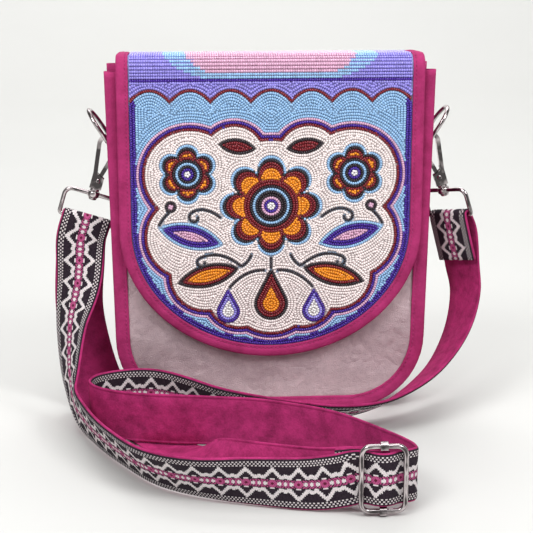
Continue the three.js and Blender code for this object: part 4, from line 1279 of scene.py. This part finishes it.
def d_ring(side):
    half = (RING_INSIDE + RING_WIRE) / 2
    inner = half - RING_WIRE
    bow = arcs(
        (inner, RING_WIRE, RING_WIRE, -90, 0, 7), (0, RING_REACH - half, half, 0, 180, 33),
        (-inner, RING_WIRE, RING_WIRE, 180, 270, 7),
    )
    plan = np.vstack((bow, [(y, 0) for y in np.linspace(-inner, inner, 8)[1:-1]]))
    s = SIDES[side]
    lean = np.array((s * sin(RING_LEAN), 0, cos(RING_LEAN)))
    path = np.array((s * RING_X, 0, RING_Z)) + plan[:, :1] * (0, 1, 0) + plan[:, 1:] * lean
    wire_loop(f"ring_{side}", path, RING_WIRE, 20, f"d_ring_{side}", f"d_ring_{side}")


def strap_loop(side):
    """The square wire that holds the strap, and the collar by which it turns on the hook."""
    x, z = rounded_rectangle(LOOP_INSIDE + LOOP_WIRE, LOOP_HEIGHT, LOOP_LOW_CORNER, LOOP_HIGH_CORNER)
    turn = LOOP_TURN[side]
    path = hook_space(side, x * cos(turn), -x * sin(turn), z - LOOP_TOP - LOOP_HEIGHT / 2)
    wire_loop(f"loop_{side}", path, LOOP_WIRE, 18, f"loop_{side}")
    upper = [(2.15, 2.3), (3.9, 2.3), (4.4, 1.9), (4.6, 1.2)]
    r, z = np.array(upper + [(r, -z) for r, z in upper[::-1]]).T
    angle = full_turn(32)[:, None]
    rings = hook_space(side, r * np.cos(angle), r * np.sin(angle), z - LOOP_TOP)
    collar = loft(f"loop_eye_{side}", rings, NICKEL, closed=True)
    finish_piece(collar, f"loop_{side}", "nickel", f"strap_loop_{side}")


for word in SIDES:
    d_ring(word)
    strap_loop(word)
    rounded_copy(f"hook_{word}", "bag_body", 0.75)
    rounded_copy(f"hook_gate_{word}", f"gate_{word}", 0.55)
    rounded_copy(f"gate_rivet_{word}", "bag_body", 0.25)
    rounded_copy(f"swivel_post_{word}", "bag_body", 0.3)

slider_size = SLIDER_WIDTH - SLIDER_WIRE, SLIDER_HEIGHT - SLIDER_WIRE
x, z = rounded_rectangle(*slider_size, SLIDER_CORNER, SLIDER_CORNER)
path = columns(SLIDER_X + x, SLIDER_Y, SLIDER_Z + z)
wire_loop("slider", path, SLIDER_WIRE, 20, "slider", "slider_frame")
rounded_copy("slider_bar", "bag_body", 0.3)
rounded_copy("snap_socket", "bag_body", 0.3)
rounded_copy("snap_stud", "flap", 0.3)


# Ring tabs: a strip folded round the ring's bar, both ends sewn to the gusset
def tab_rings(side):
    thick, half, end, middle_y = 1.7, 6.5, 182.5, 4
    root = body_half(200) - BINDING - CLEARANCE + 0.55
    radius = RING_WIRE / 2 + CLEARANCE + thick / 2
    line = [
        (root + 1.55 * thick, end), (root + 1.55 * thick, 194), (root + 1.7 * thick, 198),
        (RING_X - 2.2, RING_Z - 8.2), *arcs((RING_X, RING_Z, radius, -52, 155, 14)), (root + 3, 205),
        (root + 0.4, 198), (root + 0.4, end),
    ]
    line = spline(np.insert(line, 1, 0, axis=1), 6, 0.25)
    face = np.cross(heading(line), (0, 1, 0))
    section = [(-half, 0), (-half + 0.15, 0.55), (-half + 0.6, 0.82)]
    section += [(-y, d) for y, d in section[::-1]]
    section += [(y, -d) for y, d in section[-2:0:-1]]
    rings = np.stack([line + np.array((0, y + middle_y, 0)) + face * d for y, d in section], 1)
    return rings * (SIDES[side], 1, 1)


for word in SIDES:
    suede_piece(f"tab_{word}", tab_rings(word), "bag_body", f"ring_tab_{word}")


# Floor and light, in metres
def backdrop():
    """A pale floor that bends up into a wall behind the bag."""
    reach, bend_y, radius, wall_top, count = 9, 1.6, 1.2, 4.5, 9
    bend = np.linspace(0.1, 1.5, 12)
    y = np.concatenate((np.linspace(-reach, bend_y, 24), bend_y + radius * np.sin(bend), (bend_y + radius,)))
    z = np.concatenate((np.zeros(24), radius * (1 - np.cos(bend)), (wall_top,)))
    points = [(x, a, b) for a, b in zip(y, z) for x in np.linspace(-reach, reach, count)]
    corners = [i * count + k for i in range(len(y) - 1) for k in range(count - 1)]
    faces = [(a, a + 1, a + count + 1, a + count) for a in corners]
    add_mesh("floor", points, faces, floor_material())


backdrop()
for name, at, aim, size, power in (
    ("key", (-1.1, -1.4, 1.9), (0, 0, 0.12), 0.8, 29), ("fill", (1.3, -1.3, 1.7), (0, 0, 0.12), 0.8, 26),
    ("top", (0, -0.6, 2.2), (0, -0.6, 0), 1.6, 27), ("back", (0, 2.3, 2.5), (0, 2.3, 0), 2.6, 84),
):
    light = link(name, bpy.data.lights.new(name, "AREA"))
    light.data.size = size
    light.data.energy = power
    light.location = at
    light.rotation_euler = (Vector(aim) - Vector(at)).to_track_quat("-Z", "Y").to_euler()

world = bpy.data.worlds.new("studio")
world.use_nodes = True
world.node_tree.nodes["Background"].inputs["Color"].default_value = (0.36, 0.36, 0.36, 1)
bpy.context.scene.world = world
bpy.context.scene.view_settings.view_transform = "Standard"
